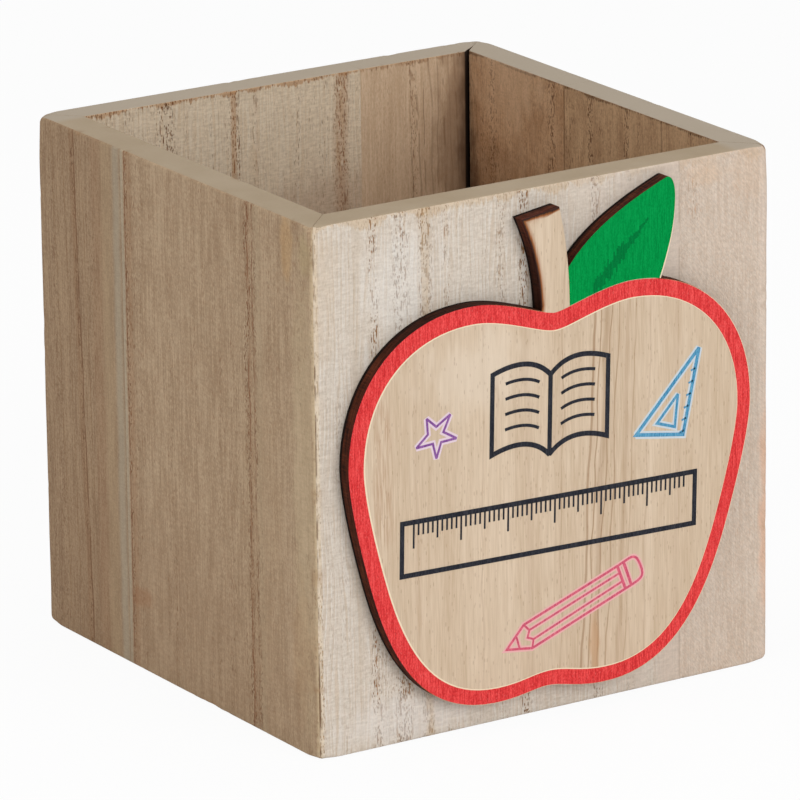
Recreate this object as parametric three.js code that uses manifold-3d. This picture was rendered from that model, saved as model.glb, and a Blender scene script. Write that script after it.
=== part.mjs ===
// A square pen holder of light wood: four mitred walls, each glued up from two boards, stand round a
// bottom board, and a laser-cut plywood apple with its stem and leaf is glued to the front.
// Millimetres, +Z up, +X to the right of someone who faces the front, which faces -Y.
// The origin is the middle of the underside of the bottom board.

import * as THREE from 'three';
import { mergeVertices } from 'three/addons/utils/BufferGeometryUtils.js';
import Module from 'manifold-3d';

const wasm = await Module();
wasm.setup();

// Driving dimensions of the box
const BOX_WIDTH = 100;
const BOX_DEPTH = 97.4;
const BOX_HEIGHT = 100.7;
const WALL_THICKNESS = 6.7;
const BOTTOM_THICKNESS = 5;
const GLUE_LINE = 0.1;
const BOTTOM_CLEARANCE = 0.15;

// Width of the narrower board in each wall, from the corner that it starts at
const FRONT_RIGHT_WIDTH = 20.2;
const RIGHT_BACK_WIDTH = 39.8;
const BACK_RIGHT_WIDTH = 31.8;
const LEFT_BACK_WIDTH = 30.7;

// Sanding takes the outer edges off the glued-up box, and more off its upright corners
const EDGE_RADIUS = 0.6;
const CORNER_EASE = 0.6;
const CORNER_STEPS = 4;
const EDGE_STEPS = 3;

// The back wall's mitre at the right corner was cut short, so it stands open inside
const OPEN_MITRE_GAP = 0.9;
const OPEN_MITRE_REACH = 2.4;

// The plywood apple, glued on slightly askew
const FACE_PLY = 0.7;
const CORE_PLY = 1.5;
const BACK_PLY = 0.7;
const PLY_GLUE = 0.05;
const PLAQUE_SIDE_SHIFT = -0.9;
const PLAQUE_FOOT_MARGIN = 4.6;
const PLAQUE_TILT = THREE.MathUtils.degToRad(-1.44);
const OUTLINE_STEPS = 9;

// The right half of the apple's outline, about its own middle: each node has the handles of the
// curves that come in to it and go out of it, along the outline's direction there
const TOP_DIP = { at: [0, 34.6], out: 2.5 };
const TOP_LOBE = { at: [17.5, 38.3], in: 6.8, out: 15.8 };
const WIDEST = { at: [44.3, 11.4], in: 16, out: 6 };
const FLANK = { at: [39.2, -12.1], in: 6.5, out: 13.4 };
const FLANK_LEAN = THREE.MathUtils.degToRad(17.2);
const BOTTOM_LOBE = { at: [12, -38.3], in: 16.5, out: 5.8 };
const BOTTOM_DIP = { at: [0, -36.9], in: 3.1 };

// The stem and the leaf are measured from the bottom of the apple's top dip. The stem leans over and
// widens to its sawn top, and its foot runs down into the apple.
const STEM_TOP_LEFT = [-7.6, 18.3];
const STEM_TOP_RIGHT = [0.6, 19.7];
const STEM_FOOT_LEFT = [-2.7, -1.6];
const STEM_FOOT_RIGHT = [3.3, -1.6];
const STEM_RIGHT_HANDLES = [[2.2, 13.6], [3.2, 7.6]];
const STEM_LEFT_HANDLES = [[-3.1, 6.1], [-4.5, 12.3]];

// The leaf springs from the stem, rounds its tip and comes down on the apple's right lobe, where its
// foot is let in beside the lobe's top
const LEAF_ROOT = [2.8, 8];
const LEAF_SHOULDER = [24, 22.1];
const LEAF_EDGE = [26.2, 18.4];
const LEAF_UPPER_HANDLES = [[7.6, 14.5], [15.5, 18.5]];
const LEAF_TIP_HANDLES = [[25.2, 22.6], [26.1, 21.2]];
const LEAF_SIDE_HANDLES = [[26.4, 12.1], [25, 7.5]];
const LEAF_FOOT_BESIDE_LOBE = 5.2;
const LEAF_FOOT_SINK = 2.3;

const woods = {
  washed: new THREE.MeshStandardMaterial({ color: 0xd7cbbc, roughness: 0.85, metalness: 0 }),
  pinkish: new THREE.MeshStandardMaterial({ color: 0xcdb8a2, roughness: 0.8, metalness: 0 }),
  brown: new THREE.MeshStandardMaterial({ color: 0xa18b6f, roughness: 0.75, metalness: 0 }),
  darker: new THREE.MeshStandardMaterial({ color: 0x93795e, roughness: 0.75, metalness: 0 }),
  base: new THREE.MeshStandardMaterial({ color: 0xb29c7f, roughness: 0.8, metalness: 0 }),
  faceVeneer: new THREE.MeshStandardMaterial({ color: 0xd4bc9b, roughness: 0.6, metalness: 0 }),
  burntCore: new THREE.MeshStandardMaterial({ color: 0x5a2f1c, roughness: 0.9, metalness: 0 }),
  burntVeneer: new THREE.MeshStandardMaterial({ color: 0x3c1e12, roughness: 0.9, metalness: 0 }),
};

// A closed geometry as a solid that can be cut
function toSolid(geometry) {
  const bare = geometry.clone();
  bare.deleteAttribute('normal');
  bare.deleteAttribute('uv');
  const merged = mergeVertices(bare);
  return new wasm.Manifold(new wasm.Mesh({
    numProp: 3,
    vertProperties: merged.attributes.position.array,
    triVerts: merged.index.array,
  }));
}

// A cut solid as a geometry again
function toGeometry(solid) {
  const cut = solid.getMesh();
  const geometry = new THREE.BufferGeometry();
  geometry.setAttribute('position', new THREE.BufferAttribute(cut.vertProperties, 3));
  geometry.setIndex(new THREE.BufferAttribute(cut.triVerts, 1));
  return geometry;
}

function polygon(points) {
  return new THREE.Shape(points.map(([x, y]) => new THREE.Vector2(x, y)));
}

// The block that sanding leaves of a wall's length and depth: rounded upright corners, and a rounded
// edge round the rim and round the foot
function sandedBlock(length, depth) {
  const inset = EDGE_RADIUS;
  const radius = CORNER_EASE;
  const right = length - inset;
  const far = depth - inset;
  const plan = new THREE.Shape();
  plan.moveTo(inset + radius, inset);
  plan.absarc(right - radius, inset + radius, radius, -Math.PI / 2, 0);
  plan.absarc(right - radius, far - radius, radius, 0, Math.PI / 2);
  plan.absarc(inset + radius, far - radius, radius, Math.PI / 2, Math.PI);
  plan.absarc(inset + radius, inset + radius, radius, Math.PI, 1.5 * Math.PI);
  const block = new THREE.ExtrudeGeometry(plan, {
    depth: BOX_HEIGHT - 2 * EDGE_RADIUS,
    bevelThickness: EDGE_RADIUS,
    bevelSize: EDGE_RADIUS,
    bevelSegments: EDGE_STEPS,
    curveSegments: CORNER_STEPS,
  });
  block.translate(0, 0, EDGE_RADIUS);
  return toSolid(block);
}

// One board of a wall, in the wall's own frame: x runs along its outer face from the left corner as
// seen from outside, and y runs inwards. The raw board stands past the sanded block on every side
// but its inner one.
function board(wall, from, to) {
  const spare = EDGE_RADIUS + CORNER_EASE;
  const mitreShift = GLUE_LINE / Math.SQRT2;
  const halfGlue = GLUE_LINE / 2;
  const plan = [];
  if (from === 0) {
    const gap = wall.openMitre ? OPEN_MITRE_GAP : 0;
    plan.push([WALL_THICKNESS + mitreShift + gap, WALL_THICKNESS]);
    if (wall.openMitre) {
      const relief = WALL_THICKNESS - OPEN_MITRE_REACH;
      plan.push([relief + mitreShift, relief]);
    }
    plan.push([mitreShift - spare, -spare]);
  } else {
    plan.push([from + halfGlue, WALL_THICKNESS], [from + halfGlue, -spare]);
  }
  if (to === wall.length) {
    plan.push([wall.length - mitreShift + spare, -spare]);
    plan.push([wall.length - mitreShift - WALL_THICKNESS, WALL_THICKNESS]);
  } else {
    plan.push([to - halfGlue, -spare], [to - halfGlue, WALL_THICKNESS]);
  }
  const raw = new THREE.ExtrudeGeometry(polygon(plan), {
    depth: BOX_HEIGHT + 2 * spare,
    bevelEnabled: false,
  });
  raw.translate(0, 0, -spare);
  return toGeometry(toSolid(raw).intersect(sandedBlock(wall.length, wall.depth)));
}

function curveThrough(shape, handles, end) {
  shape.bezierCurveTo(...handles[0], ...handles[1], ...end);
}

// The apple is the same on both sides of its middle, so the left half is the right one mirrored
function appleShape() {
  const lean = [Math.sin(FLANK_LEAN), Math.cos(FLANK_LEAN)];
  const [topX, topY] = TOP_LOBE.at;
  const [sideX, sideY] = WIDEST.at;
  const [flankX, flankY] = FLANK.at;
  const [lowX, lowY] = BOTTOM_LOBE.at;
  const half = [
    [[TOP_DIP.out, TOP_DIP.at[1]], [topX - TOP_LOBE.in, topY], TOP_LOBE.at],
    [[topX + TOP_LOBE.out, topY], [sideX, sideY + WIDEST.in], WIDEST.at],
    [[sideX, sideY - WIDEST.out], [flankX + lean[0] * FLANK.in, flankY + lean[1] * FLANK.in], FLANK.at],
    [[flankX - lean[0] * FLANK.out, flankY - lean[1] * FLANK.out], [lowX + BOTTOM_LOBE.in, lowY],
      BOTTOM_LOBE.at],
    [[lowX - BOTTOM_LOBE.out, lowY], [BOTTOM_DIP.in, BOTTOM_DIP.at[1]], BOTTOM_DIP.at],
  ];
  const shape = new THREE.Shape();
  shape.moveTo(...TOP_DIP.at);
  for (const [first, second, end] of half) {
    curveThrough(shape, [first, second], end);
  }
  const mirror = ([x, y]) => [-x, y];
  for (let i = half.length - 1; i >= 0; i--) {
    const end = i > 0 ? half[i - 1][2] : TOP_DIP.at;
    curveThrough(shape, [mirror(half[i][1]), mirror(half[i][0])], mirror(end));
  }
  return shape;
}

function stemShape() {
  const shape = new THREE.Shape();
  shape.moveTo(...STEM_TOP_LEFT);
  shape.lineTo(...STEM_TOP_RIGHT);
  curveThrough(shape, STEM_RIGHT_HANDLES, STEM_FOOT_RIGHT);
  shape.lineTo(...STEM_FOOT_LEFT);
  curveThrough(shape, STEM_LEFT_HANDLES, STEM_TOP_LEFT);
  return shape;
}

// The leaf's own root and foot lie inside the stem and the apple, so that the three are one piece
function leafShape() {
  const footX = TOP_LOBE.at[0] + LEAF_FOOT_BESIDE_LOBE;
  const footY = TOP_LOBE.at[1] - LEAF_FOOT_SINK - TOP_DIP.at[1];
  const shape = new THREE.Shape();
  shape.moveTo(...STEM_FOOT_LEFT);
  shape.lineTo(...LEAF_ROOT);
  curveThrough(shape, LEAF_UPPER_HANDLES, LEAF_SHOULDER);
  curveThrough(shape, LEAF_TIP_HANDLES, LEAF_EDGE);
  curveThrough(shape, LEAF_SIDE_HANDLES, [footX, footY]);
  return shape;
}

// One ply of the plaque, cut to the shared outline
function ply(thickness) {
  const options = { depth: thickness, bevelEnabled: false, curveSegments: OUTLINE_STEPS };
  const [apple, stem, leaf] = [appleShape(), stemShape(), leafShape()]
    .map((shape) => new THREE.ExtrudeGeometry(shape, options));
  for (const growth of [stem, leaf]) {
    growth.translate(0, TOP_DIP.at[1], 0);
  }
  return toGeometry(toSolid(apple).add(toSolid(stem)).add(toSolid(leaf)));
}

function part(name, geometry, material) {
  const mesh = new THREE.Mesh(geometry, material);
  mesh.name = name;
  return mesh;
}

const penHolder = new THREE.Group();

// Each wall is set at the corner on its left as seen from outside, and turned to face outwards
const halfWidth = BOX_WIDTH / 2;
const halfDepth = BOX_DEPTH / 2;
const walls = [
  {
    turn: 0, corner: [-halfWidth, -halfDepth], length: BOX_WIDTH, depth: BOX_DEPTH,
    joint: BOX_WIDTH - FRONT_RIGHT_WIDTH,
    boards: [['front_left_board', woods.washed], ['front_right_board', woods.pinkish]],
  },
  {
    turn: 90, corner: [halfWidth, -halfDepth], length: BOX_DEPTH, depth: BOX_WIDTH,
    joint: BOX_DEPTH - RIGHT_BACK_WIDTH,
    boards: [['right_front_board', woods.brown], ['right_back_board', woods.darker]],
  },
  {
    turn: 180, corner: [halfWidth, halfDepth], length: BOX_WIDTH, depth: BOX_DEPTH,
    joint: BACK_RIGHT_WIDTH, openMitre: true,
    boards: [['back_right_board', woods.brown], ['back_left_board', woods.washed]],
  },
  {
    turn: 270, corner: [-halfWidth, halfDepth], length: BOX_DEPTH, depth: BOX_WIDTH,
    joint: LEFT_BACK_WIDTH,
    boards: [['left_back_board', woods.darker], ['left_front_board', woods.brown]],
  },
];
for (const wall of walls) {
  const group = new THREE.Group();
  group.position.set(...wall.corner, 0);
  group.rotation.z = THREE.MathUtils.degToRad(wall.turn);
  const cuts = [0, wall.joint, wall.length];
  wall.boards.forEach(([name, wood], i) => {
    group.add(part(name, board(wall, cuts[i], cuts[i + 1]), wood));
  });
  penHolder.add(group);
}

// The bottom board lies between the walls, flush with their feet
const roomBeside = 2 * (WALL_THICKNESS + BOTTOM_CLEARANCE);
const bottom = part(
  'bottom_board',
  new THREE.BoxGeometry(BOX_WIDTH - roomBeside, BOX_DEPTH - roomBeside, BOTTOM_THICKNESS),
  woods.base,
);
bottom.position.z = BOTTOM_THICKNESS / 2;
penHolder.add(bottom);

// The plies are stacked outwards from the front wall, in a group that holds the plaque upright
const plaque = new THREE.Group();
const lowestPoint = BOTTOM_LOBE.at[1];
plaque.position.set(PLAQUE_SIDE_SHIFT, -halfDepth - GLUE_LINE, PLAQUE_FOOT_MARGIN - lowestPoint);
plaque.rotation.set(Math.PI / 2, 0, PLAQUE_TILT);
const stack = [
  ['plaque_back_ply', BACK_PLY, woods.burntVeneer],
  ['plaque_core_ply', CORE_PLY, woods.burntCore],
  ['plaque_face_ply', FACE_PLY, woods.faceVeneer],
];
let out = 0;
for (const [name, thickness, wood] of stack) {
  const mesh = part(name, ply(thickness), wood);
  mesh.position.z = out;
  plaque.add(mesh);
  out += thickness + PLY_GLUE;
}
penHolder.add(plaque);

export default penHolder;
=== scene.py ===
# %% [markdown]
# # A wooden pen holder with a plywood apple
#
# The real holder is a square box of light, soft wood, about 100 mm on a side. Each wall is glued up
# from two boards and meets its neighbours in mitred corners. On the front sits an apple that a laser
# cut from 3 mm plywood, and its red border, green leaf and small pictures are printed on it.
#
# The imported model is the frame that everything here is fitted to, in metres.

# %% Load the fixed frame
import bpy
import inspect
import math
import random
from mathutils import Matrix, Vector
from mathutils.geometry import delaunay_2d_cdt


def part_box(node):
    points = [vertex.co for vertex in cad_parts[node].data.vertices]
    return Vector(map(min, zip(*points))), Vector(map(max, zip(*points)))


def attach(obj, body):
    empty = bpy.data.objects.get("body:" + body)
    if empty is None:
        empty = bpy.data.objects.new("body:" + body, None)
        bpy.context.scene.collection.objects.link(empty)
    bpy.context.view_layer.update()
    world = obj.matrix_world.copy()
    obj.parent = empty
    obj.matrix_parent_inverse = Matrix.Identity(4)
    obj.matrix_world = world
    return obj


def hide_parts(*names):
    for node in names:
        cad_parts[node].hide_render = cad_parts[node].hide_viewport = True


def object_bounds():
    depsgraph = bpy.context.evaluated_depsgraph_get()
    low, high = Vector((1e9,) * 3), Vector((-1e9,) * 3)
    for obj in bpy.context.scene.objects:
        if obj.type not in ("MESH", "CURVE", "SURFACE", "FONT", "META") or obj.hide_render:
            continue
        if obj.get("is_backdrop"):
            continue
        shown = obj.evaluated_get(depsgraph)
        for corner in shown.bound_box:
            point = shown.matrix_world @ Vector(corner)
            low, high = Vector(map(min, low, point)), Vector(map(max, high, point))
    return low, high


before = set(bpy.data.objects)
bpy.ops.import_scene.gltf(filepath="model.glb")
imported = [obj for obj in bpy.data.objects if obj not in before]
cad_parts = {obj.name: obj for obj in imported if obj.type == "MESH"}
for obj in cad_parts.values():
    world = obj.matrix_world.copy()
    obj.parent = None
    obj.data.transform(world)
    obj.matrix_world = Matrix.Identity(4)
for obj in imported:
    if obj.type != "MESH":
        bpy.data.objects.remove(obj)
cad_bounds = [list(corner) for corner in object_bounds()]
MM = 0.001
print("CAD box in mm:", [[round(number / MM, 2) for number in corner] for corner in cad_bounds])

# %% [markdown]
# ## Camera
#
# A picture is easier to compare when it is taken from the same place. The camera stands about 1.4 m
# away with a long lens, so the box's upright edges stay nearly parallel. It is set as a matrix whose
# columns are the camera's right, up and backward directions.

# %% A helper that puts things into the scene
def add_object(name, data):
    """Makes an object from a mesh, a lamp or a camera, and links it into the scene."""
    made = bpy.data.objects.new(name, data)
    bpy.context.scene.collection.objects.link(made)
    return made


print("objects can be added")

# %% Put the camera at the picture's viewing angle
CAMERA_PLACE = Vector((-0.7110, -1.1088, 0.4497))
CAMERA_AIM = Vector((-0.0007, -0.0003, 0.0480))
CAMERA_ROLL = math.radians(-0.675)
CAMERA_LENS = 328.44

forward = (CAMERA_AIM - CAMERA_PLACE).normalized()
level = forward.cross(Vector((0, 0, 1))).normalized()
upright = level.cross(forward)
right = level * math.cos(CAMERA_ROLL) + upright * math.sin(CAMERA_ROLL)
up = right.cross(forward)
camera_data = bpy.data.cameras.new("camera")
camera_data.lens = CAMERA_LENS
camera_data.sensor_width = 36
camera = add_object("camera", camera_data)
turned = Matrix((right, up, -forward)).transposed().to_4x4()
camera.matrix_world = Matrix.Translation(CAMERA_PLACE) @ turned
bpy.context.scene.camera = camera
print("camera looks along", [round(number, 3) for number in forward])

# %% [markdown]
# ## Building node trees with less typing
#
# Every material and every Geometry Nodes tree below is made of many small nodes. Placing each one by
# hand takes three or four lines, so a few helpers do it. `Value` wraps a node's output, and Python's
# own + - * / on it add the matching Math nodes. A formula then reads like a formula.

# %% Helpers that add a node
class Value:
    """A node's output, which can be added, subtracted, multiplied and divided like a number."""

    def __init__(self, tree, socket):
        self.tree = tree
        self.socket = socket

    def __add__(self, other):
        return calc("ADD", self, other)

    def __radd__(self, other):
        return calc("ADD", other, self)

    def __sub__(self, other):
        return calc("SUBTRACT", self, other)

    def __rsub__(self, other):
        return calc("SUBTRACT", other, self)

    def __mul__(self, other):
        return calc("MULTIPLY", self, other)

    def __truediv__(self, other):
        return calc("DIVIDE", self, other)

    def __abs__(self):
        return calc("ABSOLUTE", self)


def put(tree, kind, inputs, **settings):
    """Adds a node with its settings, and links or sets its inputs by name or by number."""
    node = tree.nodes.new(kind)
    for name, setting in settings.items():
        setattr(node, name, setting)
    for key, value in inputs.items():
        if isinstance(value, Value):
            tree.links.new(value.socket, node.inputs[key])
        else:
            node.inputs[key].default_value = value
    return node


def result(tree, kind, inputs=None, output=0, **settings):
    """Adds a node and returns one of its outputs."""
    return Value(tree, put(tree, kind, inputs or {}, **settings).outputs[output])


def tree_of(values):
    """The tree that the first Value among some numbers and Values belongs to."""
    return next(value.tree for value in values if isinstance(value, Value))


def calc(operation, *numbers, clamp=False):
    """One Math node."""
    inputs = dict(enumerate(numbers))
    return result(tree_of(numbers), "ShaderNodeMath", inputs, operation=operation, use_clamp=clamp)


print("nodes can be added")

# %% Shorter words for the nodes that are used most
def least(first, second):
    return calc("MINIMUM", first, second)


def most(first, second):
    return calc("MAXIMUM", first, second)


def ramp(value, low, high, start=0.0, end=1.0):
    """Turns low to high into start to end with soft ends, and stays level outside them."""
    inputs = dict(enumerate((value, low, high, start, end)))
    return result(value.tree, "ShaderNodeMapRange", inputs, interpolation_type="SMOOTHSTEP")


def join(x, y, z):
    """Three numbers as one vector."""
    return result(tree_of((x, y, z)), "ShaderNodeCombineXYZ", {0: x, 1: y, 2: z})


def split(vector):
    """The three numbers of a vector."""
    node = put(vector.tree, "ShaderNodeSeparateXYZ", {0: vector})
    return [Value(vector.tree, socket) for socket in node.outputs]


def moved(place, seed):
    """A place shifted far away by a seed, so that a pattern there looks different."""
    shift = (seed * 17.3, seed * 9.7, seed * 5.1)
    if isinstance(seed, Value):
        shift = join(*shift)
    return result(place.tree, "ShaderNodeVectorMath", {0: place, 1: shift}, operation="ADD")


def noise(place, seed, detail=2.0, roughness=0.5):
    """Cloudy noise from 0 to 1, about 0.5 in the middle. Each seed looks at another part of it."""
    inputs = {"Vector": moved(place, seed), "Scale": 1.0, "Detail": detail, "Roughness": roughness}
    return result(place.tree, "ShaderNodeTexNoise", inputs)


def mix(mask, under, over, kind="MIX"):
    """Lays one colour over another where the mask is 1."""
    inputs = {0: mask, 6: under, 7: over}
    tree = tree_of(inputs.values())
    return result(tree, "ShaderNodeMix", inputs, output=2, data_type="RGBA", blend_type=kind)


def colour(red, green, blue):
    """A colour as the eye reads it, 0 to 255, as the linear numbers that a shader works in."""
    return (*[((part / 255 + 0.055) / 1.055) ** 2.4 for part in (red, green, blue)], 1.0)


print("pure red as a shader sees it:", colour(255, 0, 0))

# %% A helper that starts a node group
SOCKET_KINDS = {
    float: "NodeSocketFloat",
    int: "NodeSocketInt",
    tuple: "NodeSocketVector",
}


def new_group(name, kind, inputs, output):
    """A node group with named inputs that start at the given values, and one output."""
    tree = bpy.data.node_groups.new(name, kind)
    for label, start in inputs.items():
        typed = start if isinstance(start, str) else SOCKET_KINDS[type(start)]
        socket = tree.interface.new_socket(label, in_out="INPUT", socket_type=typed)
        if not isinstance(start, str):
            socket.default_value = start
    tree.interface.new_socket("Result", in_out="OUTPUT", socket_type=output)
    start_node = tree.nodes.new("NodeGroupInput")
    return tree, {label: Value(tree, start_node.outputs[label]) for label in inputs}


def hand_out(value):
    """Links a value to the output of the group that it belongs to."""
    end_node = value.tree.nodes.new("NodeGroupOutput")
    value.tree.links.new(value.socket, end_node.inputs[0])


print("groups can have", ", ".join(kind.__name__ for kind in SOCKET_KINDS), "inputs")

# %% A helper that turns a formula into a shader group
def effect(formula):
    """Makes a shader group from a formula, and turns the formula's name into a way to use it.

    The formula's first argument is a place in millimetres, and all the others are plain numbers.
    """
    labels = list(inspect.signature(formula).parameters)
    starts = {label: (0.0, 0.0, 0.0) if label == "place" else 0.0 for label in labels}
    tree, given = new_group(formula.__name__, "ShaderNodeTree", starts, "NodeSocketFloat")
    hand_out(formula(*given.values()))
    print("the effect", formula.__name__, "has", len(tree.nodes), "nodes")

    def use(place, *numbers):
        inputs = dict(zip(labels, (place, *numbers), strict=True))
        return result(place.tree, "ShaderNodeGroup", inputs, node_tree=tree)

    return use


print("formulas can become groups")

# %% [markdown]
# ## Wood effects as shader groups
#
# This wood is like paulownia: pale, soft and ring-porous. What the eye sees is layered. There are soft
# broad stripes, then fine upright fibres, then rows of short brown pores where a saw opened the early
# wood, and faint marks of the saw across them. Each is a group with its own sizes in millimetres, so
# that all the boards can share them with different numbers.

# %% Fibres: noise that is stretched along the grain, about 0.5 in the middle
@effect
def fibre(place, width, length, wander, seed):
    across, through, height = split(place)
    drift = noise(join(across / 40, through / 40, height / 55), seed, detail=1.0) - 0.5
    bent = across + drift * wander * 2
    stretched = join(bent / width, through / width, height / length)
    return noise(stretched, seed, detail=3.0, roughness=0.55)


# %% Fine ribs: the closely set upright lines of a ring-porous wood, at two pitches
@effect
def fine_ribs(place, pitch, seed):
    across, through, height = split(place)
    waver = noise(join(across / 4, through / 12, height / 35), seed) * 5
    swell = noise(join(across / 1.6, through / 3, height / 8), seed + 2, detail=2.0)
    phase = (across / pitch + waver) * math.tau
    both = calc("SINE", phase) * 0.6 + calc("SINE", phase * 2.07 + 1) * 0.4
    return both * ramp(swell, 0.35, 0.65, 0.05, 0.5)


# %% Pores: short upright dashes, each in a cell of its own
@effect
def pore_cells(place, spacing, length, fill, seed):
    across, through, height = split(place)
    cells = moved(join(across / spacing, through / spacing, height / length), seed)
    voronoi = put(cells.tree, "ShaderNodeTexVoronoi", {"Vector": cells, "Scale": 1.0})
    cell_size = split(Value(cells.tree, voronoi.outputs["Color"]))[0]
    radius = fill * (cell_size * 0.8 + 0.5)
    return ramp(Value(cells.tree, voronoi.outputs["Distance"]), radius, radius * 0.55)


# %% A band that runs up a board, straight or slanting, whole or broken
@effect
def upright_band(place, centre, half_width, slope, wander, broken, seed):
    across, through, height = split(place)
    sway = (noise(join(height / 14, through / 90, 0.0), seed) - 0.5) * wander * 2
    middle = centre + slope * (height - 50) + sway
    stripe = ramp(abs(across - middle), half_width, half_width * 0.25)
    pieces = noise(join(across / 3, through / 20, height / 5), seed + 5)
    return stripe * ramp(pieces, broken - 0.08, broken + 0.04)


# %% A soft oval patch, for a smudge, a stain or a warm spot
@effect
def soft_patch(place, centre, middle_height, half_width, half_height, seed):
    across, through, height = split(place)
    aside = (across - centre) / half_width
    above = (height - middle_height) / half_height
    ragged = (noise(join(across / 2.5, through / 9, height / 6), seed) - 0.5) * 1.3
    far = calc("SQRT", aside * aside + above * above) + ragged
    return ramp(far, 1.1, 0.35)


# %% The torn skin just under the rim, where sanding smeared the fibres
@effect
def torn_rim(place, rim_height, depth, seed):
    across, through, height = split(place)
    wide = noise(join(across / 7, through / 7, 0.0), seed, detail=1.0)
    narrow = noise(join(across / 0.45, through / 0.45, height / 5), seed + 3, detail=3.0)
    reach = depth * (ramp(wide, 0.35, 0.7, 0.3, 1.2) + (narrow - 0.5) * 2.6)
    return ramp(rim_height - height, reach + 0.25, reach - 0.2)


# %% [markdown]
# ## The boards' materials
#
# No two boards of a real glued-up wall look alike, and that is half of the charm. One function builds
# a wood material from the groups above, and a short list of marks gives each board its own face:
# where its rows of pores run, where a dark grain line slants across it, where a stain sits. A few
# marks are painted light and shade: a highlight along a rounded corner, and light and shade inside the
# box.
#
# Along a wall that faces front or back the pattern runs with X, and along a side wall with Y. Heights
# are in millimetres above the table.

# %% Kinds of mark that a board can have
BOX_HEIGHT = 100.7


def band(centre, half_width, strength, tint=None, slope=0.0, wander=0.0, broken=0.0):
    """A plain upright stripe or line. A row of pores is one too, and needs no tint."""
    numbers = (centre, half_width, slope, wander, broken)
    return {"effect": upright_band, "numbers": numbers, "strength": strength, "tint": tint}


def patch(centre, height, half_width, half_height, strength, tint=None):
    """A soft oval spot. A cluster of pores is one too, and needs no tint."""
    numbers = (centre, height, half_width, half_height)
    return {"effect": soft_patch, "numbers": numbers, "strength": strength, "tint": tint}


def marked(mark, place, seed):
    """How strongly a mark shows at a place."""
    return mark["effect"](place, *mark["numbers"], seed) * mark["strength"]


def coordinates(tree, across_axis="X"):
    """Millimetres along the wall, through it and up it."""
    place = result(tree, "ShaderNodeTexCoord", output="Object")
    x, y, z = [part / MM for part in split(place)]
    return join(y, x, z) if across_axis == "Y" else join(x, y, z)


def attribute(tree, name):
    """A number that the mesh carries from point to point."""
    return result(tree, "ShaderNodeAttribute", output="Fac", attribute_name=name)


def new_material(name, slot_colour):
    """A matt material with nodes, whose plain viewport colour is close to its rendered one."""
    made = bpy.data.materials.new(name)
    made.use_nodes = True
    made.diffuse_color = slot_colour
    shader = made.node_tree.nodes["Principled BSDF"]
    shader.inputs["Specular IOR Level"].default_value = 0.2
    return made, made.node_tree, shader


def finish_material(tree, shader, base, roughness, bump_height, strength=1.0):
    """Links colour, roughness and a bump whose height is in millimetres to the shader."""
    tree.links.new(base.socket, shader.inputs["Base Color"])
    tree.links.new(roughness.socket, shader.inputs["Roughness"])
    bump = put(tree, "ShaderNodeBump", {"Height": bump_height, "Distance": MM, "Strength": strength})
    tree.links.new(bump.outputs["Normal"], shader.inputs["Normal"])


print("marks: bands and patches")

# %% One function for every board's wood
# Painted light and shade on the inner faces is whole up to the first distance from the box's middle,
# and gone at the second
INNER_WHOLE, INNER_GONE = 44.5, 46.0
RIB_PITCH = 0.98
WORN_TINT = (160, 120, 80)
# Painted shade inside an open crack
CRACK_TINT = (24, 14, 10)


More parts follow.
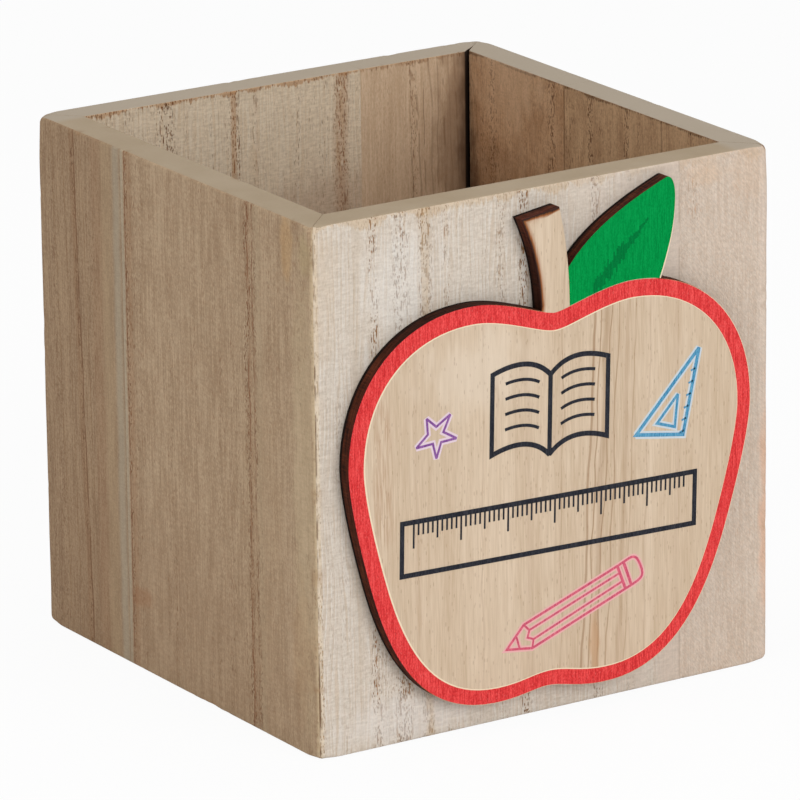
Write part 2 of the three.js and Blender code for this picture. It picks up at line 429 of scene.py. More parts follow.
def board_wood(name, across_axis, pale, deep, seed, wash=0.0, wash_tint=(236, 228, 218),
               fibre_contrast=1.0, ribs=0.5, saw_marks=0.0, pore_tint=(150, 112, 78), pores=0.12,
               pore_rows=(), hair_lines=0.3, marks=(), inner_marks=(), rim_band=0.0,
               rim_depth=1.5, rim_tint=(188, 162, 130), rim_ticks=0.0, diagonal=0.0,
               mottling=0.7):
    """A board's wood: broad tone, fibres, wash, pores, saw marks, single marks, the torn rim, worn
    chips, painted shade in an open crack, and painted light and shade on the inner face.
    """
    made, tree, shader = new_material(name, colour(*pale))
    place = coordinates(tree, across_axis)

    # Fibres are given by their width, length, wander and seed
    broad = fibre(place, 9.0, 420.0, 5.0, seed + 0.1) - 0.5
    cloud = fibre(place, 3.0, 9.0, 0.0, seed + 4.2) - 0.5
    middling = fibre(place, 1.9, 80.0, 1.6, seed + 1.3) - 0.5
    fine = fibre(place, 0.42, 12.0, 0.4, seed + 2.7) - 0.5
    grit = fibre(place, 0.22, 0.7, 0.0, seed + 5.5) - 0.5
    saw = fibre(place, 1.3, 0.38, 0.0, seed + 3.9) - 0.5
    rib = fine_ribs(place, RIB_PITCH, seed) * ribs
    tone = broad * 0.8 + middling * 0.5 + (fine + grit * 1.3) * fibre_contrast + rib * 0.35
    tone = tone + cloud * mottling
    base = mix(ramp(tone, -0.6, 0.6), colour(*pale), colour(*deep))

    streaks = rib * 0.6 + fine * 0.35 + broad * 0.4 + (saw * 0.3 + grit * 0.5) * saw_marks
    streaks = streaks + cloud * 0.4
    base = mix(ramp(streaks, -0.5, 0.4) * wash, base, colour(*wash_tint))

    torn = torn_rim(place, BOX_HEIGHT, rim_depth, seed + 7) * rim_band
    base = mix(torn, base, colour(*rim_tint))

    rows = torn * rim_ticks + pores
    for number, row in enumerate(pore_rows):
        rows = marked(row, place, seed + 40 + number) + rows
    # Pores are given by their spacing, length, fill and seed
    dashes = pore_cells(place, 0.42, 4.2, 0.30, seed)
    specks = pore_cells(place, 0.32, 1.6, 0.32, seed + 9)
    crumbs = pore_cells(place, 0.30, 0.8, 0.36, seed + 14)
    kinds = most(dashes * 0.9, most(specks * 0.85, crumbs * 0.75))
    opened = calc("MULTIPLY", kinds, rows, clamp=True)
    opened = most(opened, specks * ramp(middling + broad, -0.15, 0.2) * hair_lines)
    golden = [part * 1.3 for part in pore_tint]
    base = mix(opened, base, mix(ramp(grit + fine, -0.2, 0.2), colour(*pore_tint), colour(*golden)))

    across, through, height = split(place)
    for number, mark in enumerate(marks):
        base = mix(marked(mark, place, seed + 20 + number), base, colour(*mark["tint"]))
    # Painted light and shade, only on the inner face: lighter where lamps reach, darker in corners and
    # lower down
    inside = ramp(abs(through), INNER_GONE, INNER_WHOLE)
    for number, mark in enumerate(inner_marks, len(marks)):
        base = mix(marked(mark, place, seed + 20 + number) * inside, base, colour(*mark["tint"]))

    scratches = saw * saw_marks
    if diagonal:
        slanted = join(across - height * 1.2, through, height + across * 1.2)
        scratches = (fibre(slanted, 1.3, 0.36, 0.0, seed + 6) - 0.5) * diagonal + scratches
    light = ramp(scratches * 0.7 + grit * 0.6, -0.3, 0.3, 0.92, 1.08)
    base = mix(1.0, base, join(light, light, light), "MULTIPLY")

    base = mix(attribute(tree, "chip") * 0.45, base, colour(*WORN_TINT))
    # Painted shade: the faces inside an open mitre's crack are made nearly black
    base = mix(attribute(tree, "crack") * 0.95, base, colour(*CRACK_TINT))

    height_mm = fine * 0.05 + grit * 0.03 + rib * 0.02 + scratches * 0.035 - opened * 0.10
    finish_material(tree, shader, base, ramp(fine, -0.2, 0.2, 0.88, 0.76), height_mm)
    return made


print("board wood function ready")

# %% [markdown]
# ## The look of each board
#
# The front's wide board is the palest: it was left rough from the saw and washed with a thin white,
# so its pores stand out brown. The narrow board beside it is a smoother, pinker wood. The left wall
# and the inside of the right wall are a greyer brown. The outer sides of the back and right walls
# aren't in the picture. They show the same boards as the inside does.

# %% The front wall's wide board
front_left_wood = board_wood(
    "washed front wood", "X", (216, 200, 182), (196, 176, 152), seed=3.0, wash=0.85,
    wash_tint=(228, 220, 210), ribs=1.8, saw_marks=1.3, pore_tint=(130, 92, 56), pores=0.14,
    hair_lines=0.35,
    pore_rows=[
        band(-37.2, 1.4, 1.1, wander=0.8, broken=0.42),
        band(-31.2, 2.6, 1.0, wander=0.8, broken=0.42),
        band(-26.0, 2.0, 1.7, wander=0.5, broken=0.32),
        band(-21.5, 1.2, 0.6, wander=0.8, broken=0.46),
        band(-9.6, 1.4, 0.6, wander=0.6, broken=0.44),
        band(-4.8, 1.6, 1.3, wander=0.6, broken=0.36),
        band(11.2, 1.5, 1.2, wander=0.6, broken=0.38),
        band(18.4, 1.4, 0.7, wander=0.8, broken=0.44),
        patch(-44.5, 60, 1.6, 16, 0.3), patch(-33.0, 14, 7.0, 18, 0.35),
        band(-49.3, 0.6, 0.8, broken=0.45), patch(-49.2, 12, 1.0, 22, 0.7),
    ],
    marks=[
        patch(-30.0, 88, 9.0, 12, 0.45, (236, 231, 224)),
        patch(20.0, 60, 17.0, 90, 0.65, (219, 203, 188)),
        # Pale worn edge beside the rounded left corner, with a painted highlight on it
        band(-49.4, 0.8, 0.5, (228, 206, 174), wander=0.3),
        patch(-47.5, 88, 3.0, 14, 0.25, (212, 186, 154)),
        band(-25.5, 3.5, 0.18, (186, 158, 126), wander=1.5),
        band(-41.0, 1.2, 0.20, (190, 168, 140), wander=1.0),
        patch(-30.0, 5, 16.0, 6, 0.6, (232, 224, 216)),
        band(-26.0, 1.3, 0.3, (206, 174, 130), wander=0.5, broken=0.42),
        band(28.5, 6.0, 0.8, (217, 199, 183)),
        band(29.7, 0.28, 0.3, (150, 120, 92), broken=0.48),
        band(-49.75, 0.45, 0.9, (112, 82, 52), broken=0.52),
        patch(-49.75, 9, 0.45, 9, 0.8, (118, 88, 58)),
    ],
    rim_band=0.65, rim_depth=1.6, rim_tint=(210, 186, 156), rim_ticks=0.4,
)
print("front wall, wide board:", front_left_wood.name)

# %% The front wall's narrow board
front_right_wood = board_wood(
    "pinkish front wood", "X", (220, 203, 186), (199, 176, 154), seed=11.0, wash=0.25,
    wash_tint=(231, 218, 208), fibre_contrast=2.3, ribs=0.6, saw_marks=0.6,
    hair_lines=0.3, pore_tint=(166, 128, 98),
    pores=0.1, diagonal=2.4,
    pore_rows=[patch(33.0, 93, 2.0, 8, 0.5), patch(37.0, 60, 1.5, 20, 0.2)],
    marks=[
        # Painted highlight beside the rounded right corner
        band(48.6, 1.3, 0.35, (232, 212, 196)),
        patch(45.5, 96, 5.0, 6.0, 0.15, (222, 184, 148)),
        patch(49.6, 28, 2.2, 26, 0.5, (226, 172, 136)),
        patch(36.0, 97, 5.0, 3.0, 0.3, (220, 184, 148)),
    ],
    rim_band=0.45, rim_depth=1.8, rim_tint=(208, 182, 154),
)
print("front wall, narrow board:", front_right_wood.name)

# %% The left wall's front board, and what both its boards share
LEFT_WALL = {"fibre_contrast": 2.5, "ribs": 0.15, "saw_marks": 1.4, "mottling": 1.3,
             "hair_lines": 0.7, "rim_band": 0.15}
left_front_wood = board_wood(
    "greyish brown wood", "Y", (192, 166, 136), (160, 131, 101), seed=23.0, wash=0.12,
    wash_tint=(204, 184, 160), pore_tint=(122, 82, 54), pores=0.18, **LEFT_WALL,
    pore_rows=[
        band(-26.4, 1.4, 1.3, wander=1.4, broken=0.36),
        band(-28.6, 1.0, 1.0, wander=1.0, broken=0.42),
        band(16.2, 0.9, 1.3, wander=0.2, broken=0.38),
        band(14.8, 0.5, 0.45, wander=0.6, broken=0.5),
        band(11.8, 0.6, 0.5, wander=0.8, broken=0.5),
        band(-42.0, 1.4, 0.25, wander=1.5, broken=0.5),
        band(-48.1, 0.5, 1.0, broken=0.48),
        band(-34.0, 1.6, 0.25, wander=1.5, broken=0.5),
    ],
    marks=[
        # Pale worn edge beside the rounded front corner, with a painted highlight on it
        band(-48.5, 0.9, 0.6, (216, 194, 160), wander=0.3),
        patch(-45.0, 50, 4.5, 60, 0.45, (206, 184, 150)),
        patch(0.0, 8, 60.0, 34, 0.25, (148, 118, 90)),
        band(17.7, 0.9, 0.6, (177, 165, 144), wander=0.3),
        band(16.6, 0.3, 0.6, (126, 80, 50), broken=0.42),
        band(-26.6, 0.3, 0.7, (128, 82, 52), wander=1.2, broken=0.44),
        band(-26.9, 0.9, 0.25, (150, 104, 70), wander=1.2, broken=0.40),
        band(-28.3, 0.25, 0.55, (128, 84, 54), wander=1.0, broken=0.46),
        band(-30.0, 1.5, 0.25, (190, 170, 140), wander=1.0),
        band(15.4, 1.5, 0.3, (158, 116, 82), wander=0.6),
        patch(-46.5, 95, 2.5, 5.0, 0.4, (180, 160, 118)),
        patch(-40.0, 96, 2.2, 7.5, 0.4, (198, 156, 104)),
        patch(13.0, 14.5, 5.0, 2.6, 0.45, (158, 112, 78)),
        patch(-30.0, 40, 9.0, 40, 0.25, (180, 152, 120)),
        patch(-44.0, 20, 5.0, 14, 0.25, (186, 150, 112)),
    ],
)
print("left wall, front board:", left_front_wood.name)

# %% The left wall's back board
left_back_wood = board_wood(
    "darker left wood", "Y", (176, 148, 117), (144, 114, 84), seed=31.0, wash=0.05,
    pore_tint=(104, 70, 46), pores=0.22, **LEFT_WALL,
    pore_rows=[
        band(42.5, 1.6, 0.4, slope=0.03, broken=0.45),
        band(34.0, 0.8, 0.8, slope=0.038, wander=0.6, broken=0.45),
    ],
    marks=[
        patch(33.0, 8, 16.0, 34, 0.2, (140, 110, 82)),
        band(33.4, 0.28, 0.75, (112, 72, 44), slope=0.038, wander=0.6, broken=0.42),
        band(34.3, 1.3, 0.3, (138, 98, 66), slope=0.038, wander=0.8),
        band(30.8, 0.3, 0.3, (128, 94, 62), slope=0.038, wander=0.5, broken=0.45),
        band(37.5, 0.3, 0.3, (128, 94, 62), slope=0.038, wander=0.6, broken=0.45),
        band(41.5, 0.4, 0.25, (132, 98, 66), slope=0.038, wander=0.6, broken=0.42),
        band(19.7, 2.0, 0.6, (177, 165, 144), wander=0.6),
        band(27.0, 3.0, 0.25, (158, 120, 90), wander=1.0),
        band(23.4, 3.0, 0.3, (184, 160, 126), wander=0.6),
    ],
)
print("left wall, back board:", left_back_wood.name)

# %% The back wall's boards, which are seen on their inner side
back_left_wood = board_wood(
    "washed back wood", "X", (222, 202, 174), (202, 179, 150), seed=43.0, wash=0.6,
    wash_tint=(237, 225, 204), ribs=3.0, saw_marks=1.7, pore_tint=(112, 74, 44),
    pores=0.2, hair_lines=0.6,
    pore_rows=[
        band(-25.5, 3.0, 0.9, wander=1.2, broken=0.36),
        band(-10.5, 1.4, 1.2, wander=0.6, broken=0.28),
        band(-5.5, 0.9, 0.5, wander=0.6, broken=0.42),
        band(13.8, 2.4, 1.0, wander=1.0, broken=0.34),
    ],
    marks=[
        band(-10.5, 0.9, 0.5, (180, 130, 84), wander=0.5, broken=0.35),
        band(13.8, 2.2, 0.45, (176, 128, 86), wander=1.0, broken=0.42),
        band(-5.5, 0.5, 0.2, (176, 128, 86), wander=0.6, broken=0.44),
    ],
    # Painted shade: the inside of the back wall is darker lower down
    inner_marks=[patch(12.0, 72, 26.0, 12, 0.4, (180, 150, 126))],
    rim_band=0.7, rim_depth=0.9, rim_tint=(182, 138, 96), rim_ticks=1.2,
)
back_right_wood = board_wood(
    "brown back wood", "X", (224, 198, 168), (196, 167, 136), seed=53.0, wash=0.0,
    fibre_contrast=1.3, saw_marks=0.4, pore_tint=(120, 84, 56), pores=0.14,
    pore_rows=[band(31.5, 1.2, 0.7, slope=-0.03, wander=0.8, broken=0.4)],
    marks=[
        band(31.0 + 1.5 * row, 0.2 + 0.1 * (row % 2), 0.3 + 0.08 * (row % 3), (122, 86, 58),
             slope=-0.03, wander=0.9, broken=0.38 + 0.05 * (row % 3))
        for row in range(8)
    ],
    # Painted shade: darker down the inner back right corner
    inner_marks=[patch(43.0, 84, 9.0, 60, 0.56, (147, 115, 87)),
                 patch(43.3, 80, 3.2, 50, 0.8, (96, 69, 48))],
    rim_band=0.55, rim_depth=0.8, rim_tint=(170, 128, 90), rim_ticks=1.2,
)
print("back boards:", back_left_wood.name, "and", back_right_wood.name)

# %% The right wall's boards, which are seen on their inner side
RIGHT_WALL = {"fibre_contrast": 2.0, "saw_marks": 1.2, "mottling": 2.6, "pores": 0.36,
              "hair_lines": 0.9, "rim_band": 0.75, "rim_depth": 0.5, "rim_ticks": 1.5}
right_back_wood = board_wood(
    "darker right wood", "Y", (208, 169, 132), (182, 141, 104), seed=61.0, wash=0.0,
    pore_tint=(92, 60, 38), rim_tint=(112, 80, 54), **RIGHT_WALL,
    pore_rows=[
        band(34.0, 1.4, 0.9, wander=0.8, broken=0.36),
        band(13.5, 1.8, 0.9, wander=0.8, broken=0.36),
        band(43.0, 1.0, 0.4, wander=0.8, broken=0.5),
    ],
    marks=[band(9.1, 0.3, 0.55, (100, 72, 50), broken=0.3)],
    # Painted light at the top of the inside near the back, and painted shade down the inner back corner
    # and lower down
    inner_marks=[
        patch(28.0, 98, 14.0, 14, 0.4, (226, 192, 158)),
        patch(41.0, 66, 2.6, 24, 0.8, (92, 62, 40)),
        patch(33.0, 76, 22.0, 10, 0.3, (124, 90, 62)),
    ],
)
right_front_wood = board_wood(
    "brown right wood", "Y", (210, 173, 134), (183, 145, 108), seed=71.0, wash=0.1,
    wash_tint=(200, 180, 156), pore_tint=(96, 64, 40), rim_tint=(118, 86, 58), **RIGHT_WALL,
    pore_rows=[
        band(0.0, 1.2, 1.2, wander=1.0, broken=0.40),
        band(-12.0, 1.2, 1.0, wander=1.2, broken=0.4),
        band(-33.0, 1.6, 0.5, wander=1.4, broken=0.42),
    ],
    marks=[band(-22.0, 0.35, 0.5, (120, 86, 58), slope=-0.03, wander=0.6)],
)
print("right boards:", right_back_wood.name, "and", right_front_wood.name)

# %% The bottom board, and the sawn ends of the boards on the rim and the foot
bottom_wood = board_wood(
    "bottom wood", "Y", (196, 172, 144), (176, 148, 118), seed=83.0, wash=0.2,
    wash_tint=(210, 192, 168), saw_marks=0.4, pore_tint=(130, 94, 64), pores=0.2,
)

end_grain, tree, shader = new_material("end grain", colour(184, 166, 141))
x, y, z = split(coordinates(tree))
rings = noise(join(x / 5.5, y / 5.5, 0.0), 4.0, detail=1.0)
flecks = noise(join(x / 0.45, y / 0.45, z / 0.45), 8.0, detail=2.0)
clouds = noise(join(x / 16, y / 16, 0.0), 15.0, detail=3.0)
base = mix(ramp((clouds - 0.5) + (flecks - 0.5) * 0.5 + (rings - 0.5) * 0.3, -0.4, 0.4),
           colour(180, 162, 138), colour(168, 149, 123))
greyer = most(ramp(x, 41.0, 44.0), ramp(y, 40.0, 43.0))
base = mix(greyer * 0.7, base, colour(182, 170, 154))
base = mix(attribute(tree, "chip") * 0.6, base, colour(150, 122, 92))
finish_material(tree, shader, base, ramp(flecks, 0.3, 0.7, 0.85, 0.72), (flecks - 0.5) * 0.05)
print("bottom and end grain ready")

# %% [markdown]
# ## Mitred boards with Geometry Nodes
#
# All eight boards of the walls follow one rule: a slab whose ends are either mitred at 45 degrees or
# cut square at a glue joint, with sanded edges. A rule is what Geometry Nodes are good at, so one
# tree makes them all. It starts from a unit box of many small cells and moves every point to its
# place: first through the wall and up it, then along it to wherever the ends are at that depth.
#
# Sanding is a rounding of the square edges. Where wood has broken away from an arris, the rounding
# is simply larger, so chips come from noise in the radius and the surface stays closed.

# %% Rounding a square corner to a given radius
def rounded(a, b, low_a, high_a, low_b, high_b):
    """Pulls the points in the square corners of a rectangle onto round ones."""
    base_a = least(most(a, low_a), high_a)
    base_b = least(most(b, low_b), high_b)
    from_a = a - base_a
    from_b = b - base_b
    square_reach = most(abs(from_a), abs(from_b))
    round_reach = most(calc("SQRT", from_a * from_a + from_b * from_b), 1e-6)
    shrink = square_reach / round_reach
    return base_a + from_a * shrink, base_b + from_b * shrink


def crowded(share, crowding):
    """Draws rows of points towards both ends of a board, where the edges are rounded."""
    return share - calc("SINE", share * math.tau) * (crowding / math.tau)


def chipped(along, seed, size):
    """Where a bit of wood has broken from an edge: 0 for whole, up to 1 for a deep chip."""
    return ramp(noise(join(along / size, 0.0, 0.0), seed, detail=2.0), 0.60, 0.76)


print("edges can be rounded and chipped")

# %% A helper that chains geometry nodes
def then(geometry, kind, inputs=None):
    """Adds a node that works on some geometry, and returns the changed geometry."""
    return result(geometry.tree, kind, {"Geometry": geometry, **(inputs or {})})


print("geometry nodes can be chained")

# %% The tree starts with its inputs and a box of cells
tree, given = new_group(
    "mitred board", "GeometryNodeTree",
    {"Start": 0.0, "End": 100.0, "Wall Length": 100.0, "Thickness": 6.7, "Height": BOX_HEIGHT,
     "Start Mitre": 0.0, "End Mitre": 0.0, "Glue Line": 0.02, "Mitre Gap": 0.08, "Open Gap": 0.0,
     "Open Reach": 2.4, "Corner Radius": 1.2, "Edge Radius": 0.6, "Inner Edge Radius": 0.25,
     "Chip Size": 1.0, "Start Corner Seed": 0.0, "End Corner Seed": 0.0, "Seed": 0.0,
     "Place": (0.0, 0.0, 0.0), "Turn": (0.0, 0.0, 0.0), "Points Along": 100, "Points Through": 12,
     "Points Up": 150, "Wood": "NodeSocketMaterial", "End Grain": "NodeSocketMaterial"},
    "NodeSocketGeometry",
)
cells = result(tree, "GeometryNodeMeshCube", {
    "Size": (1, 1, 1), "Vertices X": given["Points Along"], "Vertices Y": given["Points Through"],
    "Vertices Z": given["Points Up"]}, "Mesh")
along, through, up_share = split(result(tree, "GeometryNodeInputPosition"))
thickness = given["Thickness"]
wall_height = given["Height"]
chip_size = given["Chip Size"]
deep = thickness * crowded(through + 0.5, 0.8)
high = wall_height * crowded(up_share + 0.5, 0.72)
along = crowded(along + 0.5, 0.55)
print("the tree starts with", len(given), "inputs")

# %% Round the edges that run along the wall, and more so near its corners
is_top = calc("GREATER_THAN", up_share, 0.0)
is_inner = calc("GREATER_THAN", through, 0.0)
raw_x = given["Start"] + (given["End"] - given["Start"]) * along
edge_chip = chipped(raw_x + is_top * 300 + is_inner * 150, given["Seed"], 2.6) * chip_size
edge_radius = given["Edge Radius"] + (given["Inner Edge Radius"] - given["Edge Radius"]) * is_inner
edge_radius = edge_radius + edge_chip * (0.45 - is_inner * 0.2)
to_wall_end = least(raw_x, given["Wall Length"] - raw_x)
edge_radius = edge_radius + ramp(to_wall_end, 4.5, 0.0) * (1 - is_inner) * chip_size * 0.9
deep, high = rounded(deep, high, edge_radius, thickness - edge_radius, edge_radius,
                     wall_height - edge_radius)
print("after the long edges:", len(tree.nodes), "nodes")

# %% Set both ends: mitred, cut square for a glue line, or open on the inside
opening = given["Open Gap"] * most((deep - (thickness - given["Open Reach"])) / given["Open Reach"], 0)
near_rim = ramp(high, wall_height - 1.5, wall_height - 0.3)
mitre = given["Mitre Gap"] / math.sqrt(2) * near_rim
half_glue = given["Glue Line"] / 2
from_start = given["Start Mitre"] * (deep + mitre + opening) + (1 - given["Start Mitre"]) * half_glue
from_end = given["End Mitre"] * (deep + mitre) + (1 - given["End Mitre"]) * half_glue
left_end = given["Start"] + from_start
right_end = given["End"] - from_end
wide = left_end + (right_end - left_end) * along
print("after the ends:", len(tree.nodes), "nodes")

# %% Round the upright corners
NO_LIMIT = 1000.0
is_far = calc("GREATER_THAN", wide, given["Wall Length"] / 2)
corner_seed = given["Start Corner Seed"] * (1 - is_far) + given["End Corner Seed"] * is_far
corner_chip = chipped(high, corner_seed, 2.4) * chip_size
waver = (noise(join(high / 11, 0.0, 0.0), corner_seed + 30) - 0.5) * 0.5 * chip_size
top_ease = ramp(high, wall_height - 9, wall_height, 0.0, 0.7) * chip_size
corner_radius = given["Corner Radius"] + corner_chip * 0.35 + waver + top_ease
wide, deep = rounded(wide, deep, corner_radius, given["Wall Length"] - corner_radius,
                     corner_radius, NO_LIMIT)
print("after the corners:", len(tree.nodes), "nodes")

# %% Mark the chips and the painted shade in the open mitre's crack, then place the board and give it its materials
END_GRAIN_FROM = 0.8
to_corner = most(least(wide, given["Wall Length"] - wide), deep)
to_edge = most(least(high, wall_height - high), least(deep, thickness - deep))
chip = most(corner_chip * ramp(to_corner, 2.3, 0.9), edge_chip * ramp(to_edge, 1.3, 0.5))
# Painted shade on the faces inside the open mitre, near the board's start
crack = ramp(raw_x - given["Start"], 0.3, 0.05) * ramp(opening, 0.1, 0.4) * given["Start Mitre"]
cells = then(cells, "GeometryNodeStoreNamedAttribute", {"Name": "chip", "Value": chip})
cells = then(cells, "GeometryNodeStoreNamedAttribute", {"Name": "crack", "Value": crack})
board = then(cells, "GeometryNodeSetPosition", {"Position": join(wide, deep, high)})
board = then(board, "GeometryNodeTransform", {"Translation": given["Place"], "Rotation": given["Turn"]})
board = then(board, "GeometryNodeTransform", {"Scale": (MM, MM, MM)})
board = then(board, "GeometryNodeSetShadeSmooth")
board = then(board, "GeometryNodeRealizeInstances")
board = then(board, "GeometryNodeSetMaterial", {"Material": given["Wood"]})
facing = split(result(tree, "GeometryNodeInputNormal"))[2]
is_end_grain = calc("GREATER_THAN", abs(facing), END_GRAIN_FROM)
board = then(board, "GeometryNodeSetMaterial",
             {"Material": given["End Grain"], "Selection": is_end_grain})
hand_out(board)
print("mitred board has", len(tree.nodes), "nodes")

# %% A helper that runs a tree once and keeps its result as a plain mesh
def grow(name, tree_name, inputs):
    """Makes an object from a Geometry Nodes tree. The modifier is gone when it is done."""
    tree = bpy.data.node_groups[tree_name]
    maker = add_object(name + "_maker", bpy.data.meshes.new(name + "_maker"))
    modifier = maker.modifiers.new("nodes", "NODES")
    modifier.node_group = tree
    for item in tree.interface.items_tree:
        if item.in_out == "INPUT" and item.name in inputs:
            modifier[item.identifier] = inputs[item.name]
    view_layer = bpy.context.evaluated_depsgraph_get()
    mesh = bpy.data.meshes.new_from_object(
        maker.evaluated_get(view_layer), preserve_all_data_layers=True, depsgraph=view_layer)
    maker.modifiers.remove(modifier)
    bpy.data.objects.remove(maker)
    mesh.name = name
    return add_object(name, mesh)


def finish_piece(piece, slot, *nodes):
    """Lets a piece ride with the holder, in the place of the CAD nodes that it stands for."""
    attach(piece, "root")
    if nodes:
        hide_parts(*nodes)
    piece.data.calc_loop_triangles()
    print(piece.name, "has", len(piece.data.loop_triangles), "triangles")


print("trees can be grown")

# %% Make the eight boards of the walls
BOX_WIDTH = 100.0
BOX_DEPTH = 97.4
CELL = 0.75
SHARP_FROM = math.radians(42)
half_width = BOX_WIDTH / 2
half_depth = BOX_DEPTH / 2
# The walls stand in turn from the front, anticlockwise seen from above
wall_corners = [(-half_width, -half_depth), (half_width, -half_depth),
                (half_width, half_depth), (-half_width, half_depth)]
wall_lengths = [BOX_WIDTH, BOX_DEPTH, BOX_WIDTH, BOX_DEPTH]
walls = [
    {"joint": 79.8, "open_gap": 0.0,
     "boards": [("front_left_board", front_left_wood, "washed_wood"),
                ("front_right_board", front_right_wood, "pinkish_wood")]},
    {"joint": 57.6, "open_gap": 0.0,
     "boards": [("right_front_board", right_front_wood, "brown_wood"),
                ("right_back_board", right_back_wood, "darker_wood")]},
    {"joint": 31.8, "open_gap": 0.9,
     "boards": [("back_right_board", back_right_wood, "brown_wood"),
                ("back_left_board", back_left_wood, "washed_wood")]},
    {"joint": 30.7, "open_gap": 0.0,
     "boards": [("left_back_board", left_back_wood, "darker_wood"),
                ("left_front_board", left_front_wood, "brown_wood")]},
]
for turns, (wall, corner, length) in enumerate(zip(walls, wall_corners, wall_lengths)):
    ends = [0.0, wall["joint"], length]
    for number, (node, wood, slot) in enumerate(wall["boards"]):
        start, end = ends[number:number + 2]
        board = grow(node + "_wood", "mitred board", {
            "Start": start, "End": end, "Wall Length": length,
            "Start Mitre": 1.0 - number, "End Mitre": float(number),
            "Open Gap": wall["open_gap"], "Seed": 9.0 * turns + number,
            "Start Corner Seed": turns + 1.0, "End Corner Seed": (turns + 1) % 4 + 1.0,
            "Place": (*corner, 0.0), "Turn": (0.0, 0.0, math.radians(90 * turns)),
            "Points Along": round((end - start) / CELL), "Wood": wood, "End Grain": end_grain,
        })
        board.data.set_sharp_from_angle(angle=SHARP_FROM)
        finish_piece(board, slot, node)

# %% [markdown]
# ## The bottom board
#
# It isn't seen in the picture, but pens need something to stand on. It lies between the walls, flush
# with their feet. The same tree makes it: a slab without mitres whose thickness is the box's depth.

# %% Make the bottom board
low, high = [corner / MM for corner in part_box("bottom_board")]
bottom = grow("bottom_board_wood", "mitred board", {
    "Start": 0.0, "End": high.x - low.x, "Wall Length": high.x - low.x, "Glue Line": 0.0,
    "Thickness": high.y - low.y, "Height": high.z - low.z, "Corner Radius": 0.3,
    "Edge Radius": 0.2, "Inner Edge Radius": 0.2, "Chip Size": 0.0,
    "Place": tuple(low), "Points Along": 90, "Points Through": 90, "Points Up": 9,
    "Wood": bottom_wood, "End Grain": bottom_wood,
})
bottom.data.set_sharp_from_angle(angle=SHARP_FROM)
finish_piece(bottom, "bottom_wood", "bottom_board")

# %% [markdown]
# ## The apple's outline
#
# The laser cut the apple, its stem and its leaf in one piece, so one outline serves for everything on
# the plaque: its three plies, the red border and the leaf's green. The curves are measured from the
# apple's own middle, in millimetres, and a matrix sets the apple on the front wall, where it was glued
# a little askew.

# %% Draw smooth curves through a few points
CURVE_STEPS = 22


def curve(start, first_handle, second_handle, end, steps=CURVE_STEPS):
    """Points along a Bezier curve, without its last one."""
    found = []
    for step in range(steps):
        t = step / steps
        s = 1 - t
        weights = (s ** 3, 3 * s * s * t, 3 * s * t * t, t ** 3)
        corners = (start, first_handle, second_handle, end)
        found.append(Vector([sum(w * c[axis] for w, c in zip(weights, corners)) for axis in (0, 1)]))
    return found


# Each line is one curve of the apple's right half, from the dip at the top to the dip at the bottom
FLANK_LEAN = math.radians(17.2)
lean_x, lean_y = math.sin(FLANK_LEAN), math.cos(FLANK_LEAN)
apple_half = [
    ((0, 34.6), (2.5, 34.6), (10.7, 38.3), (17.5, 38.3)),
    ((17.5, 38.3), (33.3, 38.3), (44.3, 27.4), (44.3, 11.4)),
    ((44.3, 11.4), (44.3, 5.4), (39.2 + lean_x * 6.5, -12.1 + lean_y * 6.5), (39.2, -12.1)),
    ((39.2, -12.1), (39.2 - lean_x * 13.4, -12.1 - lean_y * 13.4), (28.5, -38.3), (12, -38.3)),
    ((12, -38.3), (6.2, -38.3), (3.1, -36.9), (0, -36.9)),
]
right_side = [point for part in apple_half for point in curve(*part)] + [Vector((0, -36.9))]
left_side = [Vector((-point.x, point.y)) for point in reversed(right_side[1:-1])]
apple_outline = right_side + left_side
print("the apple's outline has", len(apple_outline), "points")

# %% The stem and the leaf, measured from the bottom of the apple's dip
DIP_HEIGHT = 34.6


def above_dip(points):
    return [Vector((point[0], point[1] + DIP_HEIGHT)) for point in points]


STEM_TOP_LEFT, STEM_TOP_RIGHT = (-7.6, 18.3), (0.6, 19.7)
STEM_FOOT_LEFT, STEM_FOOT_RIGHT = (-2.7, -1.6), (3.3, -1.6)
LEAF_ROOT, LEAF_SHOULDER, LEAF_EDGE, LEAF_FOOT = (2.8, 8), (24, 22.1), (26.2, 18.4), (22.7, 1.4)
stem_outline = above_dip(
    [STEM_TOP_LEFT]
    + curve(STEM_TOP_RIGHT, (2.2, 13.6), (3.2, 7.6), STEM_FOOT_RIGHT)
    + [STEM_FOOT_RIGHT]
    + curve(STEM_FOOT_LEFT, (-3.1, 6.1), (-4.5, 12.3), STEM_TOP_LEFT)
)
leaf_outline = above_dip(
    [STEM_FOOT_LEFT]
    + curve(LEAF_ROOT, (7.6, 14.5), (15.5, 18.5), LEAF_SHOULDER)
    + curve(LEAF_SHOULDER, (25.2, 22.6), (26.1, 21.2), LEAF_EDGE)
    + curve(LEAF_EDGE, (26.4, 12.1), (25, 7.5), LEAF_FOOT)
    + [LEAF_FOOT]
)
print("the leaf's tip is at", [round(number, 1) for number in leaf_outline[CURVE_STEPS + 1]])

# %% [markdown]
# ## From outlines to thin plates
#
# A ply or a film of ink is a flat shape with holes and a little thickness. A Delaunay triangulation
# takes several outlines at once and says which of them each triangle lies in, so shapes can be added
# and cut away in the plane, where that is easy and exact. The result is then given its thickness.

# %% Add and cut flat shapes
WELD = 1e-4


def anticlockwise(outline):
    """The same outline, turned round if it runs clockwise: the triangulation needs it so."""
    pairs = zip(outline, [*outline[1:], outline[0]])
    doubled_area = sum(a[0] * b[1] - b[0] * a[1] for a, b in pairs)
    return outline if doubled_area > 0 else outline[::-1]


